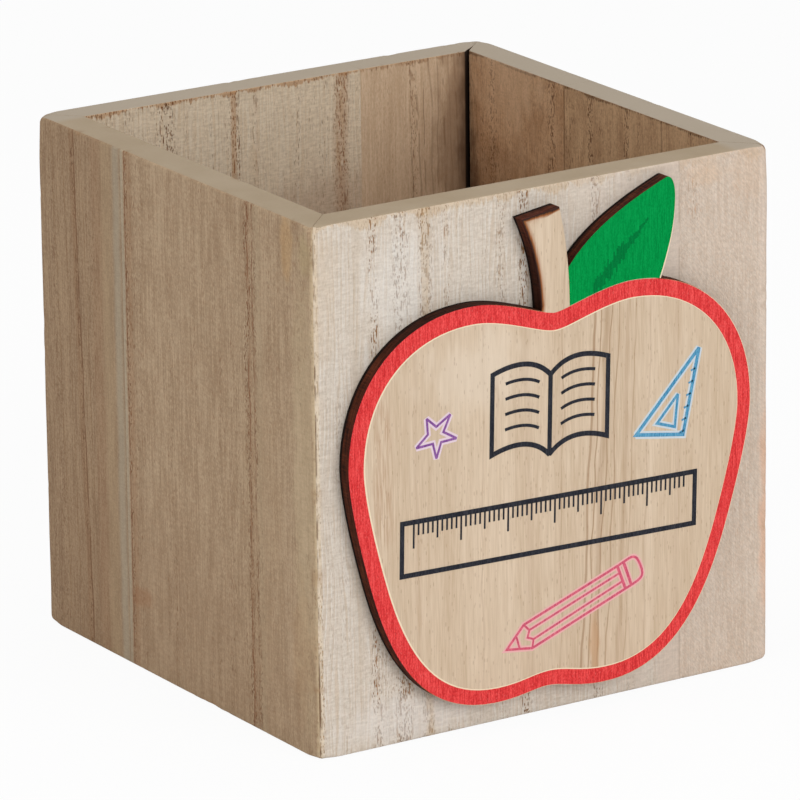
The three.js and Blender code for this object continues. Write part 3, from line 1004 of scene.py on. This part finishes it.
def flat_area(keep, cut=(), extra=()):
    """The triangles that lie in an outline of keep and in none of cut, and their points."""
    points = []
    faces = []
    for outline in [*keep, *cut]:
        faces.append(list(range(len(points), len(points) + len(outline))))
        points.extend(anticlockwise(outline))
    points.extend(extra)
    corners, _, triangles, _, _, sources = delaunay_2d_cdt(points, [], faces, 0, WELD, True)
    kept = []
    for triangle, inside in zip(triangles, sources):
        in_cut = any(number >= len(keep) for number in inside)
        if inside and not in_cut:
            kept.append(tuple(triangle))
    used = sorted({corner for triangle in kept for corner in triangle})
    renumber = {corner: number for number, corner in enumerate(used)}
    triangles = [tuple(renumber[corner] for corner in triangle) for triangle in kept]
    return [corners[corner].copy() for corner in used], triangles


def rim_of(triangles):
    """The edges that only one triangle uses, in that triangle's direction."""
    edges = {(a, b) for t in triangles for a, b in ((t[0], t[1]), (t[1], t[2]), (t[2], t[0]))}
    return [(a, b) for a, b in edges if (b, a) not in edges]


square = [Vector(corner) for corner in ((0, 0), (2, 0), (2, 2), (0, 2))]
print("a square with a cut has", len(flat_area([square], [[c * 0.5 for c in square]])[1]), "triangles")

# %% Place the apple on the front wall
PLATE_SHARP_FROM = math.radians(35)
GLUE = 0.1
PLAQUE_TILT = math.radians(-1.44)
PLAQUE_MIDDLE = Vector((-0.9, -half_depth - GLUE, 42.9))
on_plaque = (Matrix.Translation(PLAQUE_MIDDLE) @ Matrix.Rotation(math.radians(90), 4, "X")
             @ Matrix.Rotation(PLAQUE_TILT, 4, "Z"))


def plate(name, points, triangles, low, high, materials, cut_edge=0):
    """A closed plate whose flat sides are low and high millimetres out from the wall."""
    count = len(points)
    corners = [on_plaque @ Vector((*point, out)) * MM for out in (high, low) for point in points]
    faces = list(triangles)
    faces += [(c + count, b + count, a + count) for a, b, c in triangles]
    walls_start = len(faces)
    faces += [(b, a, a + count, b + count) for a, b in rim_of(triangles)]
    mesh = bpy.data.meshes.new(name)
    mesh.from_pydata(corners, [], faces)
    for material in materials:
        mesh.materials.append(material)
    for polygon in mesh.polygons[walls_start:]:
        polygon.material_index = cut_edge
    mesh.shade_smooth()
    mesh.set_sharp_from_angle(angle=PLATE_SHARP_FROM)
    return add_object(name, mesh)


print("the apple's middle stands", PLAQUE_MIDDLE.z, "mm above the table")

# %% [markdown]
# ## Plywood and its burnt edge
#
# Laser plywood of 3 mm has a core between two thin veneers. The beam chars the edge: nearly black at
# the back, reddish brown in the core, and with fine ripples that run through the thickness. The back
# ply's near black also holds painted contact shade, where the plaque meets the wall. On the face the
# beam leaves an orange-brown halo beside the cut, strongest on the stem's left and top. An
# attribute called scorch holds how close a point of the face is to such an edge.

# %% Veneer for the face
veneer, tree, shader = new_material("face veneer", colour(212, 188, 155))
place = coordinates(tree)
broad = fibre(place, 7.0, 300.0, 3.0, 101.0)
middling = fibre(place, 1.3, 60.0, 1.0, 102.0)
fine = fibre(place, 0.28, 6.0, 0.3, 103.0)
tone = (broad - 0.5) * 0.9 + (middling - 0.5) * 1.0 + (fine - 0.5) * 1.4
base = mix(ramp(tone, -0.7, 0.7), colour(229, 208, 183), colour(200, 175, 146))
# Each grain line has its place, half its width, its strength and its slope
grain_lines = [(7.6, 0.4, 0.55, 0.050), (9.0, 0.22, 0.60, 0.045), (10.4, 0.9, 0.30, 0.050),
               (11.2, 0.20, 0.55, 0.055), (13.0, 0.22, 0.45, 0.050), (15.4, 0.7, 0.22, 0.045),
               (17.0, 0.22, 0.28, 0.040), (20.5, 0.3, 0.20, 0.030), (-30.5, 0.8, 0.14, -0.01),
               (-16.0, 0.25, 0.20, 0.01), (-6.0, 1.2, 0.12, 0.0), (1.5, 0.25, 0.25, 0.02),
               (27.0, 1.0, 0.14, 0.01)]
for number, (centre, half, strength, slope) in enumerate(grain_lines):
    line = band(centre, half, strength, slope=slope, wander=1.0)
    base = mix(marked(line, place, 110.0 + number), base, colour(152, 112, 76))
swirl = marked(patch(8.4, 12.0, 1.5, 8.0, 0.45), place, 121.0)
base = mix(swirl, base, colour(196, 144, 94))
reddish = marked(patch(-37.5, 54.0, 2.6, 24.0, 0.4), place, 124.0)
base = mix(reddish * ramp(fine, 0.4, 0.62), base, colour(178, 134, 104))
paler = marked(patch(-18.0, 69.0, 15.0, 9.0, 0.5), place, 126.0)
base = mix(paler, base, colour(234, 217, 196))
pinpricks = pore_cells(place, 0.5, 2.2, 0.22, 122.0)
base = mix(pinpricks * 0.3, base, colour(150, 112, 80))
scorch = attribute(tree, "scorch")
scorched = scorch + (fine - 0.5) * 0.8 * scorch
base = mix(ramp(scorched, 0.04, 0.5), base, colour(156, 92, 44))
base = mix(ramp(scorched, 0.38, 0.8), base, colour(48, 22, 12))
finish_material(tree, shader, base, ramp(fine, 0.3, 0.7, 0.66, 0.55), (fine - 0.5) * 0.035
                + (middling - 0.5) * 0.02 - pinpricks * 0.03)
print("face veneer has", len(tree.nodes), "nodes")

# %% Charred edges, one recipe with three tones
# The stem's left side is charred more deeply between these heights, each with a soft start
STEM_CHAR_FOOT = (74.0, 78.0)
STEM_CHAR_TOP = (91.5, 88.0)


def charred(name, pale, dark, seed):
    """An edge that a laser cut: ripples through the thickness, and uneven char."""
    made, tree, shader = new_material(name, colour(*pale))
    x, y, z = split(coordinates(tree))
    ripple = noise(join(x / 0.28, y / 12, z / 0.28), seed, detail=2.0)
    char = noise(join(x / 3.5, y / 0.7, z / 3.5), seed + 1, detail=3.0)
    layers = noise(join(x / 25, y / 0.25, z / 25), seed + 2, detail=1.0)
    tone = (char - 0.5) * 1.2 + (ripple - 0.5) * 0.7 + (layers - 0.5) * 0.5
    base = mix(ramp(tone, -0.4, 0.4), colour(*dark), colour(*pale))
    stem_side = ramp(x, 0.0, -3.0) * ramp(z, *STEM_CHAR_FOOT) * ramp(z, *STEM_CHAR_TOP)
    base = mix(stem_side * 0.6, base, colour(26, 10, 5))
    shader.inputs["Specular IOR Level"].default_value = 0.1
    finish_material(tree, shader, base, ramp(char, 0.3, 0.7, 0.85, 0.7), (ripple - 0.5) * 0.10)
    return made


burnt_face_edge = charred("burnt face ply", (86, 36, 22), (40, 16, 10), 131.0)
burnt_core = charred("burnt core", (92, 44, 26), (30, 13, 8), 134.0)
# The back ply is darkest: its char, and painted contact shade where the plaque meets the wall
burnt_back = charred("burnt back ply", (30, 15, 11), (11, 6, 5), 137.0)
print("three tones of char")

# %% How far inside the edge each point lies
def nearest_edge(point, edges):
    """The distance to the nearest edge, and that edge's outward direction."""
    nearest = (1e9, Vector((0, 0)))
    for start, along, length_squared, outward in edges:
        share = min(max((point - start).dot(along) / length_squared, 0), 1)
        away = (point - start - along * share).length_squared
        if away < nearest[0]:
            nearest = (away, outward)
    return math.sqrt(nearest[0]), nearest[1]


plaque_points, plaque_triangles = flat_area([apple_outline, stem_outline, leaf_outline])
plaque_edges = []
for a, b in rim_of(plaque_triangles):
    along = plaque_points[b] - plaque_points[a]
    outward = Vector((along.y, -along.x)).normalized()
    plaque_edges.append((plaque_points[a], along, along.length_squared, outward))
# The face needs points in rings inside its edge, where the scorch fades, and a plain grid elsewhere
RING_DEPTHS = (0.18, 0.4, 0.75, 1.3)
GRID_FROM = 2
GRID_STEP = 2.5
inner_points = []
for start, _, _, outward in plaque_edges:
    for depth in RING_DEPTHS:
        inner_points.append(start - outward * depth)
inner_points += [Vector((x, z)) * GRID_STEP for x in range(-18, 19) for z in range(-16, 23)]
kept_points = []
for point in inner_points:
    depth = nearest_edge(point, plaque_edges)[0]
    if depth > GRID_FROM or any(abs(depth - ring) < ring / 9 for ring in RING_DEPTHS):
        kept_points.append(point)
face_points, face_triangles = flat_area([apple_outline, stem_outline, leaf_outline],
                                        extra=kept_points)
print("the plaque's rim has", len(plaque_edges), "edges, and its face", len(face_points), "points")

# %% Stack the three plies
BACK_PLY = (0.0, 0.7)
CORE_PLY = (0.72, 2.27)
FACE_PLY = (2.29, 2.96)
SCORCHED_SIDE = Vector((-0.85, 0.53))
SCORCH_FADE = 0.55
JOINT_CLEAR = 1.5
stem_meets_leaf = leaf_outline[1]
back_ply = plate("plaque_back_ply_burnt", plaque_points, plaque_triangles, *BACK_PLY, [burnt_back])
core_ply = plate("plaque_core_ply_burnt", plaque_points, plaque_triangles, *CORE_PLY, [burnt_core])
face_ply = plate("plaque_face_ply_veneer", face_points, face_triangles, *FACE_PLY,
                 [veneer, burnt_face_edge], cut_edge=1)
scorch_values = []
for point in face_points:
    depth, outward = nearest_edge(point, plaque_edges)
    facing = max(0.0, min(1.0, (outward.dot(SCORCHED_SIDE) + 0.25) / 0.8))
    from_joint = (point - stem_meets_leaf).length
    open_to_beam = max(0.0, min(1.0, from_joint - JOINT_CLEAR))
    scorch_values.append(facing * open_to_beam * math.exp(-depth / SCORCH_FADE))
scorch_attribute = face_ply.data.attributes.new("scorch", "FLOAT", "POINT")
scorch_attribute.data.foreach_set("value", scorch_values * 2)
finish_piece(back_ply, "burnt_plywood", "plaque_back_ply")
finish_piece(core_ply, "burnt_plywood", "plaque_core_ply")
finish_piece(face_ply, "face_veneer", "plaque_face_ply")

# %% [markdown]
# ## Ink on wood
#
# The border, the leaf and the small pictures are printed, and the veneer's grain shows through the
# ink as fine lighter and darker streaks. Each colour is a film that stands 0.04 mm proud of the face
# ply, so it has an edge that catches the light, as real ink does. One effect gives the streaks, and
# each ink has its own colours and strengths.

# %% The ink's grain as an effect
@effect
def ink_streaks(place, seed):
    fine = fibre(place, 0.26, 3.0, 0.3, 103.0)
    middling = fibre(place, 1.1, 30.0, 1.0, seed)
    grit = fibre(place, 0.22, 0.4, 0.0, seed + 1)
    return 0.5 + (fine - 0.5) * 1.2 + (middling - 0.5) * 0.4 + (grit - 0.5) * 0.9


# %% One material for each ink
def ink(name, tint, speck_tint, streaks, bare, gloss, seed):
    """A printed colour, with the wood's grain and small specks in it."""
    made, tree, shader = new_material(name, colour(*tint))
    place = coordinates(tree)
    grain = ink_streaks(place, seed)
    specks = pore_cells(place, 0.36, 0.8, 0.27, seed)
    light = ramp(grain, 0.0, 1.0, 1.0 - streaks, 1.0 + streaks)
    base = mix(1.0, colour(*tint), join(light, light, light), "MULTIPLY")
    thin = ramp(grain, 0.3, 1.0)
    base = mix(most(specks, thin) * bare, base, colour(*speck_tint))
    shader.inputs["Specular IOR Level"].default_value = gloss
    finish_material(tree, shader, base, ramp(grain, 0.2, 0.8, 0.58, 0.45),
                    (grain - 0.5) * 0.03 - specks * 0.02)
    return made


# Each ink has a name, its colour, the colour of its specks, the strength of its streaks, the share
# of it that is bare, and its gloss
INK_KINDS = {
    "red": ("red ink", (229, 57, 59), (246, 132, 126), 0.3, 0.42, 0.04),
    "green": ("green ink", (0, 147, 69), (24, 166, 90), 0.24, 0.30, 0.01),
    "dark_green": ("dark green ink", (0, 119, 58), (0, 142, 68), 0.18, 0.5, 0.015),
    "cream": ("cream edge", (246, 228, 198), (232, 206, 176), 0.05, 0.3, 0.07),
    "black": ("black ink", (36, 38, 46), (92, 92, 98), 0.3, 0.3, 0.07),
    "violet": ("violet ink", (136, 80, 156), (190, 156, 190), 0.24, 0.4, 0.07),
    "blue": ("blue ink", (74, 148, 190), (150, 196, 208), 0.26, 0.5, 0.07),
    "pink": ("pink ink", (216, 86, 116), (236, 160, 166), 0.22, 0.45, 0.07),
    "pale_violet": ("pale violet edge", (236, 215, 226), (216, 190, 190), 0.06, 0.3, 0.07),
    "pale_blue": ("pale blue edge", (211, 221, 227), (206, 196, 186), 0.06, 0.4, 0.07),
    "pale_pink": ("pale pink edge", (239, 184, 184), (224, 184, 168), 0.06, 0.4, 0.07),
}
inks = {}
for number, (colour_name, kind) in enumerate(INK_KINDS.items()):
    inks[colour_name] = ink(*kind, seed=150.0 + 2 * number)
print("inks:", ", ".join(inks))

# %% Films of ink, and strokes of a pen with mitred corners
FILM_BACK = 2.95
UNDERPRINT_FRONT = 2.98
FILM_FRONT = 3.0
STRAIGHT = 0.02


def printed(name, colour_name, keep, cut=()):
    """A film of ink in the shape of the outlines in keep, less those in cut."""
    points, triangles = flat_area(keep, cut)
    film = plate(name, points, triangles, FILM_BACK, FILM_FRONT, [inks[colour_name]])
    finish_piece(film, colour_name + "_print")


def underprint(name, colour_name, keep):
    """A thinner, paler film that shows as a soft edge on both sides of a coloured line."""
    points, triangles = flat_area(keep)
    film = plate(name, points, triangles, FILM_BACK, UNDERPRINT_FRONT, [inks[colour_name]])
    finish_piece(film, "cream_print")


def stroke(path, width, closed=False, longest_tip=3.0):
    """A line of even width: a strip for each stretch, and a pointed or cut corner between two."""
    points = [Vector(point) for point in path]
    if closed:
        points.append(points[0])
    shapes = []
    directions = []
    for start, end in zip(points, points[1:]):
        along = (end - start).normalized()
        side = Vector((-along.y, along.x)) * width / 2
        shapes.append([start + side, start - side, end - side, end + side])
        directions.append(along)
    corners = list(zip(points[1:], directions, directions[1:]))
    if closed:
        corners.append((points[0], directions[-1], directions[0]))
    for point, came, goes in corners:
        turn = came.cross(goes)
        if abs(turn) > STRAIGHT:
            outside = -math.copysign(width / 2, turn)
            first = Vector((-came.y, came.x)) * outside
            second = Vector((-goes.y, goes.x)) * outside
            tip = (first + second) / max(1 + came.dot(goes), 0.001)
            corner = [point, point + first, point + second]
            if tip.length < longest_tip * width:
                corner.insert(2, point + tip)
            shapes.append(corner)
    return shapes


def inset(outline, distance):
    """A closed outline that runs clockwise, moved inwards."""
    count = len(outline)
    moved = []
    for number, point in enumerate(outline):
        along = (outline[(number + 1) % count] - outline[number - 1]).normalized()
        moved.append(point + Vector((along.y, -along.x)) * distance)
    return moved


print("a stroke of 3 points has", len(stroke([(0, 0), (1, 0), (1, 1)], 0.2)), "shapes")

# %% The red border with its pale inner line
BORDER_WIDTH = 3.15
BORDER_SHIFT = Vector((0.2, -0.25))
BORDER_TURN = Matrix.Rotation(math.radians(0.3), 2)
PALE_LINE = 0.20
PALE_SHIFT = Vector((0.14, 0.0))
CUT_MARGIN = 0.08


def border_line(distance):
    """The border's inner edge: the print sat a little askew on the cut apple."""
    return [BORDER_TURN @ point + BORDER_SHIFT for point in inset(apple_outline, distance)]


def shifted(outline, shift):
    return [point + shift for point in outline]


# A pale layer lies under the red, a little to its right: it shows inside the border on the left,
# and outside it on the right
red_outside = shifted(inset(apple_outline, 1.5 * CUT_MARGIN), -PALE_SHIFT / 3)
pale_outside = shifted(inset(apple_outline, 1.8 * CUT_MARGIN), PALE_SHIFT / 2)
border_inside = border_line(BORDER_WIDTH)
pale_inside = shifted(border_line(BORDER_WIDTH + PALE_LINE), PALE_SHIFT)
printed("border_print", "red", [red_outside], [border_inside])
printed("border_pale_line", "cream", [border_inside], [pale_inside])
printed("border_pale_rim", "cream", [pale_outside], [red_outside])

# %% The green leaf with its pale edge, and its vein of upright slivers that follow the grain
EDGE_FROM = 2 * CURVE_STEPS + 1
EDGE_WIDTH = 0.26
EDGE_TAPER = 14
edge_strip = leaf_outline[EDGE_FROM:]
for number, point in reversed(list(enumerate(inset(leaf_outline, EDGE_WIDTH)[EDGE_FROM:]))[1:]):
    edge_strip.append(leaf_outline[EDGE_FROM + number].lerp(point, min(1, number / EDGE_TAPER)))
printed("leaf_pale_edge", "cream", [edge_strip], [apple_outline])

VEIN_FOOT = Vector((8.4, 37.6))
VEIN_TIP = Vector((20.3, 49.6))
SLIVERS = 36
SLIVERS_SEED = 5
chance = random.Random(SLIVERS_SEED)
slivers = []
for number in range(SLIVERS):
    left = VEIN_FOOT.lerp(VEIN_TIP, number / SLIVERS)
    right = VEIN_FOOT.lerp(VEIN_TIP, (number + 1) / SLIVERS)
    reach = 0.35 + 1.75 * math.sin(0.8 * math.pi * (1 - number / SLIVERS) ** 1.4)
    low = left.y - reach * chance.uniform(0.4, 1.2)
    high = left.y + reach * chance.uniform(0.4, 1.2)
    corners = ((left.x, low), (right.x, low), (right.x, high), (left.x, high))
    slivers.append([Vector(corner) for corner in corners])
printed("leaf_print", "green", [leaf_outline],
        [stem_outline, apple_outline, *slivers, edge_strip])
printed("leaf_vein_print", "dark_green", slivers, [stem_outline, apple_outline])

# %% [markdown]
# ## The small pictures
#
# They are common school things, drawn as single lines: a star, a set square, a pencil, and in black
# an open book above a ruler. A line is a row of quads whose corners are mitred, so that it stays even
# where it turns, and the triangulation welds the quads into one film.

# %% The star and the set square
STAR = [(-27.6, 18.5), (-25.5, 16.7), (-22.5, 18.6), (-23.95, 15.5), (-21.1, 13.9), (-24.4, 13.65),
        (-25.4, 10.7), (-26.2, 13.6), (-29.75, 13.3), (-27.3, 15.5)]
SQUARE_OUTSIDE = [(18.55, 8.45), (32.3, 23.2), (29.1, 7.0)]
SQUARE_INSIDE = [(23.2, 10.0), (27.75, 14.95), (27.2, 8.75)]
printed("star_print", "violet", stroke(STAR, 0.45, closed=True, longest_tip=1.2))
underprint("star_pale_edge", "pale_violet", stroke(STAR, 1.25, closed=True, longest_tip=1.0))


def square_lines(outer_width, inner_width, longest_tip):
    """The set square's two triangles."""
    return (stroke(SQUARE_OUTSIDE, outer_width, closed=True, longest_tip=longest_tip)
            + stroke(SQUARE_INSIDE, inner_width, closed=True, longest_tip=longest_tip))


printed("set_square_print", "blue", square_lines(0.72, 0.56, 1.4))
underprint("set_square_pale_edge", "pale_blue", square_lines(1.5, 1.25, 1.0))

# %% The pencil
ERASER = (curve((17.3, -15.2), (18.7, -14.6), (19.3, -15.1), (20.1, -16.9), 6)
          + curve((20.1, -16.9), (20.9, -18.7), (20.8, -19.3), (18.6, -20.2), 6))
PENCIL_BODY = [(-5.8, -24.2), (15.0, -16.2), *ERASER, (18.6, -20.2), (16.8, -20.9), (-3.8, -29.0)]
# The tip's cuff and lead, two edges along the barrel and two rings, each with its width
PENCIL_DETAILS = [
    ([(-5.8, -24.2), (-4.5, -25.4), (-4.9, -26.8), (-3.55, -27.3), (-3.8, -29.0)], 0.4),
    ([(-7.35, -26.3), (-6.6, -28.6)], 0.4),
    ([(-4.5, -25.4), (15.2, -17.75)], 0.4),
    ([(-3.55, -27.3), (16.0, -19.4)], 0.4),
    ([(14.9, -16.3), (16.8, -20.85)], 0.6),
    ([(16.3, -15.8), (18.1, -20.3)], 0.6),
]


def pencil_lines(extra):
    """All the pencil's lines, each wider by extra than the ink itself."""
    shapes = stroke([(-9.45, -28.4), *PENCIL_BODY], 0.48 + extra, closed=True)
    for path, width in PENCIL_DETAILS:
        shapes += stroke(path, width + extra)
    return shapes


printed("pencil_print", "pink", pencil_lines(0))
underprint("pencil_pale_edge", "pale_pink", pencil_lines(0.66))

# %% An open book and a ruler
BOLD_LINE = 0.95
THIN_LINE = 0.6
BOOK_SPINE = -0.7
PAGE_CORNER = (-13.4, 24.6)
PAGE_HEIGHT = 15.2
PAGE_ROWS = 4
ROW_STEP = 2.9
page_top = curve((BOOK_SPINE, 22.9), (BOOK_SPINE - 3.5, 26.6), (-9.0, 26.2), PAGE_CORNER, 14)
page_top.append(Vector(PAGE_CORNER))
page_foot = [point - Vector((0, PAGE_HEIGHT)) for point in reversed(page_top)]


def mirrored(points):
    return [Vector((2 * BOOK_SPINE - point[0], point[1])) for point in points]


book_lines = []
for side in (list, mirrored):
    book_lines += stroke(side(page_top + page_foot), BOLD_LINE, closed=True, longest_tip=1.0)
    for row in range(1, PAGE_ROWS + 1):
        written = [point - Vector((0, ROW_STEP * row)) for point in page_top[3:-3]]
        book_lines += stroke(side(written), THIN_LINE)
printed("book_print", "black", book_lines)

RULER_LEFT, RULER_RIGHT, RULER_LOW, RULER_HIGH = -32.6, 32.0, -10.6, -0.6
ruler_frame = [(RULER_LEFT, RULER_LOW), (RULER_LEFT, RULER_HIGH), (RULER_RIGHT, RULER_HIGH),
               (RULER_RIGHT, RULER_LOW)]
printed("ruler_print", "black", stroke(ruler_frame, BOLD_LINE, closed=True))

# %% A row of ticks, repeated with Geometry Nodes
tree, given = new_group(
    "row of ticks", "GeometryNodeTree",
    {"Start": (0.0, 0.0, 0.0), "Step": (1.0, 0.0, 0.0), "Count": 10, "Width": 0.35, "Short": 2.0,
     "Middle": 3.0, "Long": 4.0, "Turn": (0.0, 0.0, 0.0), "Film": 0.05,
     "Ink": "NodeSocketMaterial"},
    "NodeSocketGeometry",
)
row = result(tree, "GeometryNodeMeshLine", {
    "Count": given["Count"], "Start Location": given["Start"], "Offset": given["Step"]})
tick = result(tree, "GeometryNodeMeshCube", {"Size": join(given["Width"], 1.0, given["Film"])}, "Mesh")
hung = then(tick, "GeometryNodeTransform", {"Translation": (0, -0.5, 0)})
number = result(tree, "GeometryNodeInputIndex")
is_fifth = 1 - least(calc("MODULO", number, 5), 1)
is_tenth = 1 - least(calc("MODULO", number, 10), 1)
reach = (given["Short"] + (given["Middle"] - given["Short"]) * is_fifth
         + (given["Long"] - given["Middle"]) * is_tenth)
ticks = result(tree, "GeometryNodeInstanceOnPoints", {
    "Points": row, "Instance": hung, "Rotation": given["Turn"], "Scale": join(1.0, reach, 1.0)})
ticks = then(ticks, "GeometryNodeRealizeInstances")
ticks = then(ticks, "GeometryNodeSetMaterial", {"Material": given["Ink"]})
hand_out(ticks)
print("row of ticks has", len(tree.nodes), "nodes")

# %% The ruler's ticks and the set square's
FILM_MIDDLE = (FILM_BACK + FILM_FRONT) / 2
TICKS = 59
TICKS_MARGIN = 2.5
TICKS_TOP = 0.4
tick_step = (RULER_RIGHT - RULER_LEFT - 2 * TICKS_MARGIN) / (TICKS - 1)
square_tick = 1.05
rows_of_ticks = [
    ("ruler_ticks_print", "black", {
        "Start": (RULER_LEFT + TICKS_MARGIN, RULER_HIGH - TICKS_TOP, FILM_MIDDLE),
        "Step": (tick_step, 0.0, 0.0), "Count": TICKS, "Width": 0.38, "Short": 2.2, "Middle": 3.3,
        "Long": 4.6}),
    ("set_square_ticks_print", "blue", {
        "Start": (31.55, 19.4, FILM_MIDDLE), "Step": (-0.46, -2.32, 0.0), "Count": 6,
        "Width": 0.36, "Short": square_tick, "Middle": square_tick, "Long": square_tick,
        "Turn": (0.0, 0.0, math.radians(-70))}),
]
for name, colour_name, inputs in rows_of_ticks:
    row_of_ticks = grow(name, "row of ticks", {**inputs, "Ink": inks[colour_name]})
    row_of_ticks.data.transform(Matrix.Scale(MM, 4) @ on_plaque)
    finish_piece(row_of_ticks, colour_name + "_print")

# %% [markdown]
# ## Light, floor and background
#
# The picture was taken in a white studio. A big soft lamp at the front right makes the front the
# brightest side, and the left wall and the inside are lit more weakly. The lamps are set so that a
# colour renders about as it is written. The background is white because the floor and the world show
# white to the camera, not because there is more light on the object.

# %% The lamps
LAMPS_AIM = Vector((0, 0, 0.05))


def softbox(name, place, size, power):
    """A square area lamp that looks at the holder's middle."""
    lamp = bpy.data.lights.new(name, "AREA")
    lamp.size = size
    lamp.energy = power
    made = add_object(name, lamp)
    made.location = place
    made.rotation_euler = (LAMPS_AIM - Vector(place)).to_track_quat("-Z", "Y").to_euler()


softbox("key_lamp", (0.22, -1.30, 0.62), 1.0, 10.4)
softbox("fill_lamp", (-1.2, -0.20, 0.45), 0.9, 4.7)
softbox("top_lamp", (0.0, 0.1, 1.2), 0.8, 5.2)
print("three lamps")

# %% The floor and the world
FLOOR_HALF = 6.0
FLOOR_WHITENESS = 0.94
AMBIENT = 0.21
floor_mesh = bpy.data.meshes.new("floor")
floor_corners = [(x * FLOOR_HALF, y * FLOOR_HALF, 0) for x, y in ((-1, -1), (1, -1), (1, 1), (-1, 1))]
floor_mesh.from_pydata(floor_corners, [], [(0, 1, 2, 3)])
floor = add_object("floor", floor_mesh)
floor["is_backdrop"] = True


def seen_rays(tree):
    """1 for the rays that show the background: straight, mirrored or through glass."""
    path = put(tree, "ShaderNodeLightPath", {})
    rays = [Value(tree, path.outputs[label]) for label in
            ("Is Camera Ray", "Is Glossy Ray", "Is Transmission Ray")]
    return calc("ADD", rays[0] + rays[1], rays[2], clamp=True)


floor_material = bpy.data.materials.new("pale floor")
floor_material.use_nodes = True
tree = floor_material.node_tree
tree.nodes.clear()
matt = put(tree, "ShaderNodeBsdfDiffuse", {"Color": (0.9, 0.9, 0.9, 1)})
white = put(tree, "ShaderNodeEmission", {"Color": (1, 1, 1, 1), "Strength": 1.0})
shown = put(tree, "ShaderNodeMixShader", {0: seen_rays(tree) * FLOOR_WHITENESS})
tree.links.new(matt.outputs[0], shown.inputs[1])
tree.links.new(white.outputs[0], shown.inputs[2])
surface = put(tree, "ShaderNodeOutputMaterial", {})
tree.links.new(shown.outputs[0], surface.inputs["Surface"])
floor_mesh.materials.append(floor_material)

world = bpy.data.worlds.new("studio")
world.use_nodes = True
tree = world.node_tree
background = tree.nodes["Background"]
background.inputs["Color"].default_value = (1, 1, 1, 1)
strength = seen_rays(tree) * (1 - AMBIENT) + AMBIENT
tree.links.new(strength.socket, background.inputs["Strength"])
bpy.context.scene.world = world
bpy.context.scene.view_settings.view_transform = "Standard"
print("floor and world ready")

# %% [markdown]
# ## The size
#
# The dressed model has to stay inside the box of the fixed frame, so both boxes are written down.

# %% Write the dressed model's box; the fixed frame's was written at the start
visual_bounds = [list(corner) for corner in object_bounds()]
print("visual box in mm:", [[round(number / MM, 2) for number in corner] for corner in visual_bounds])
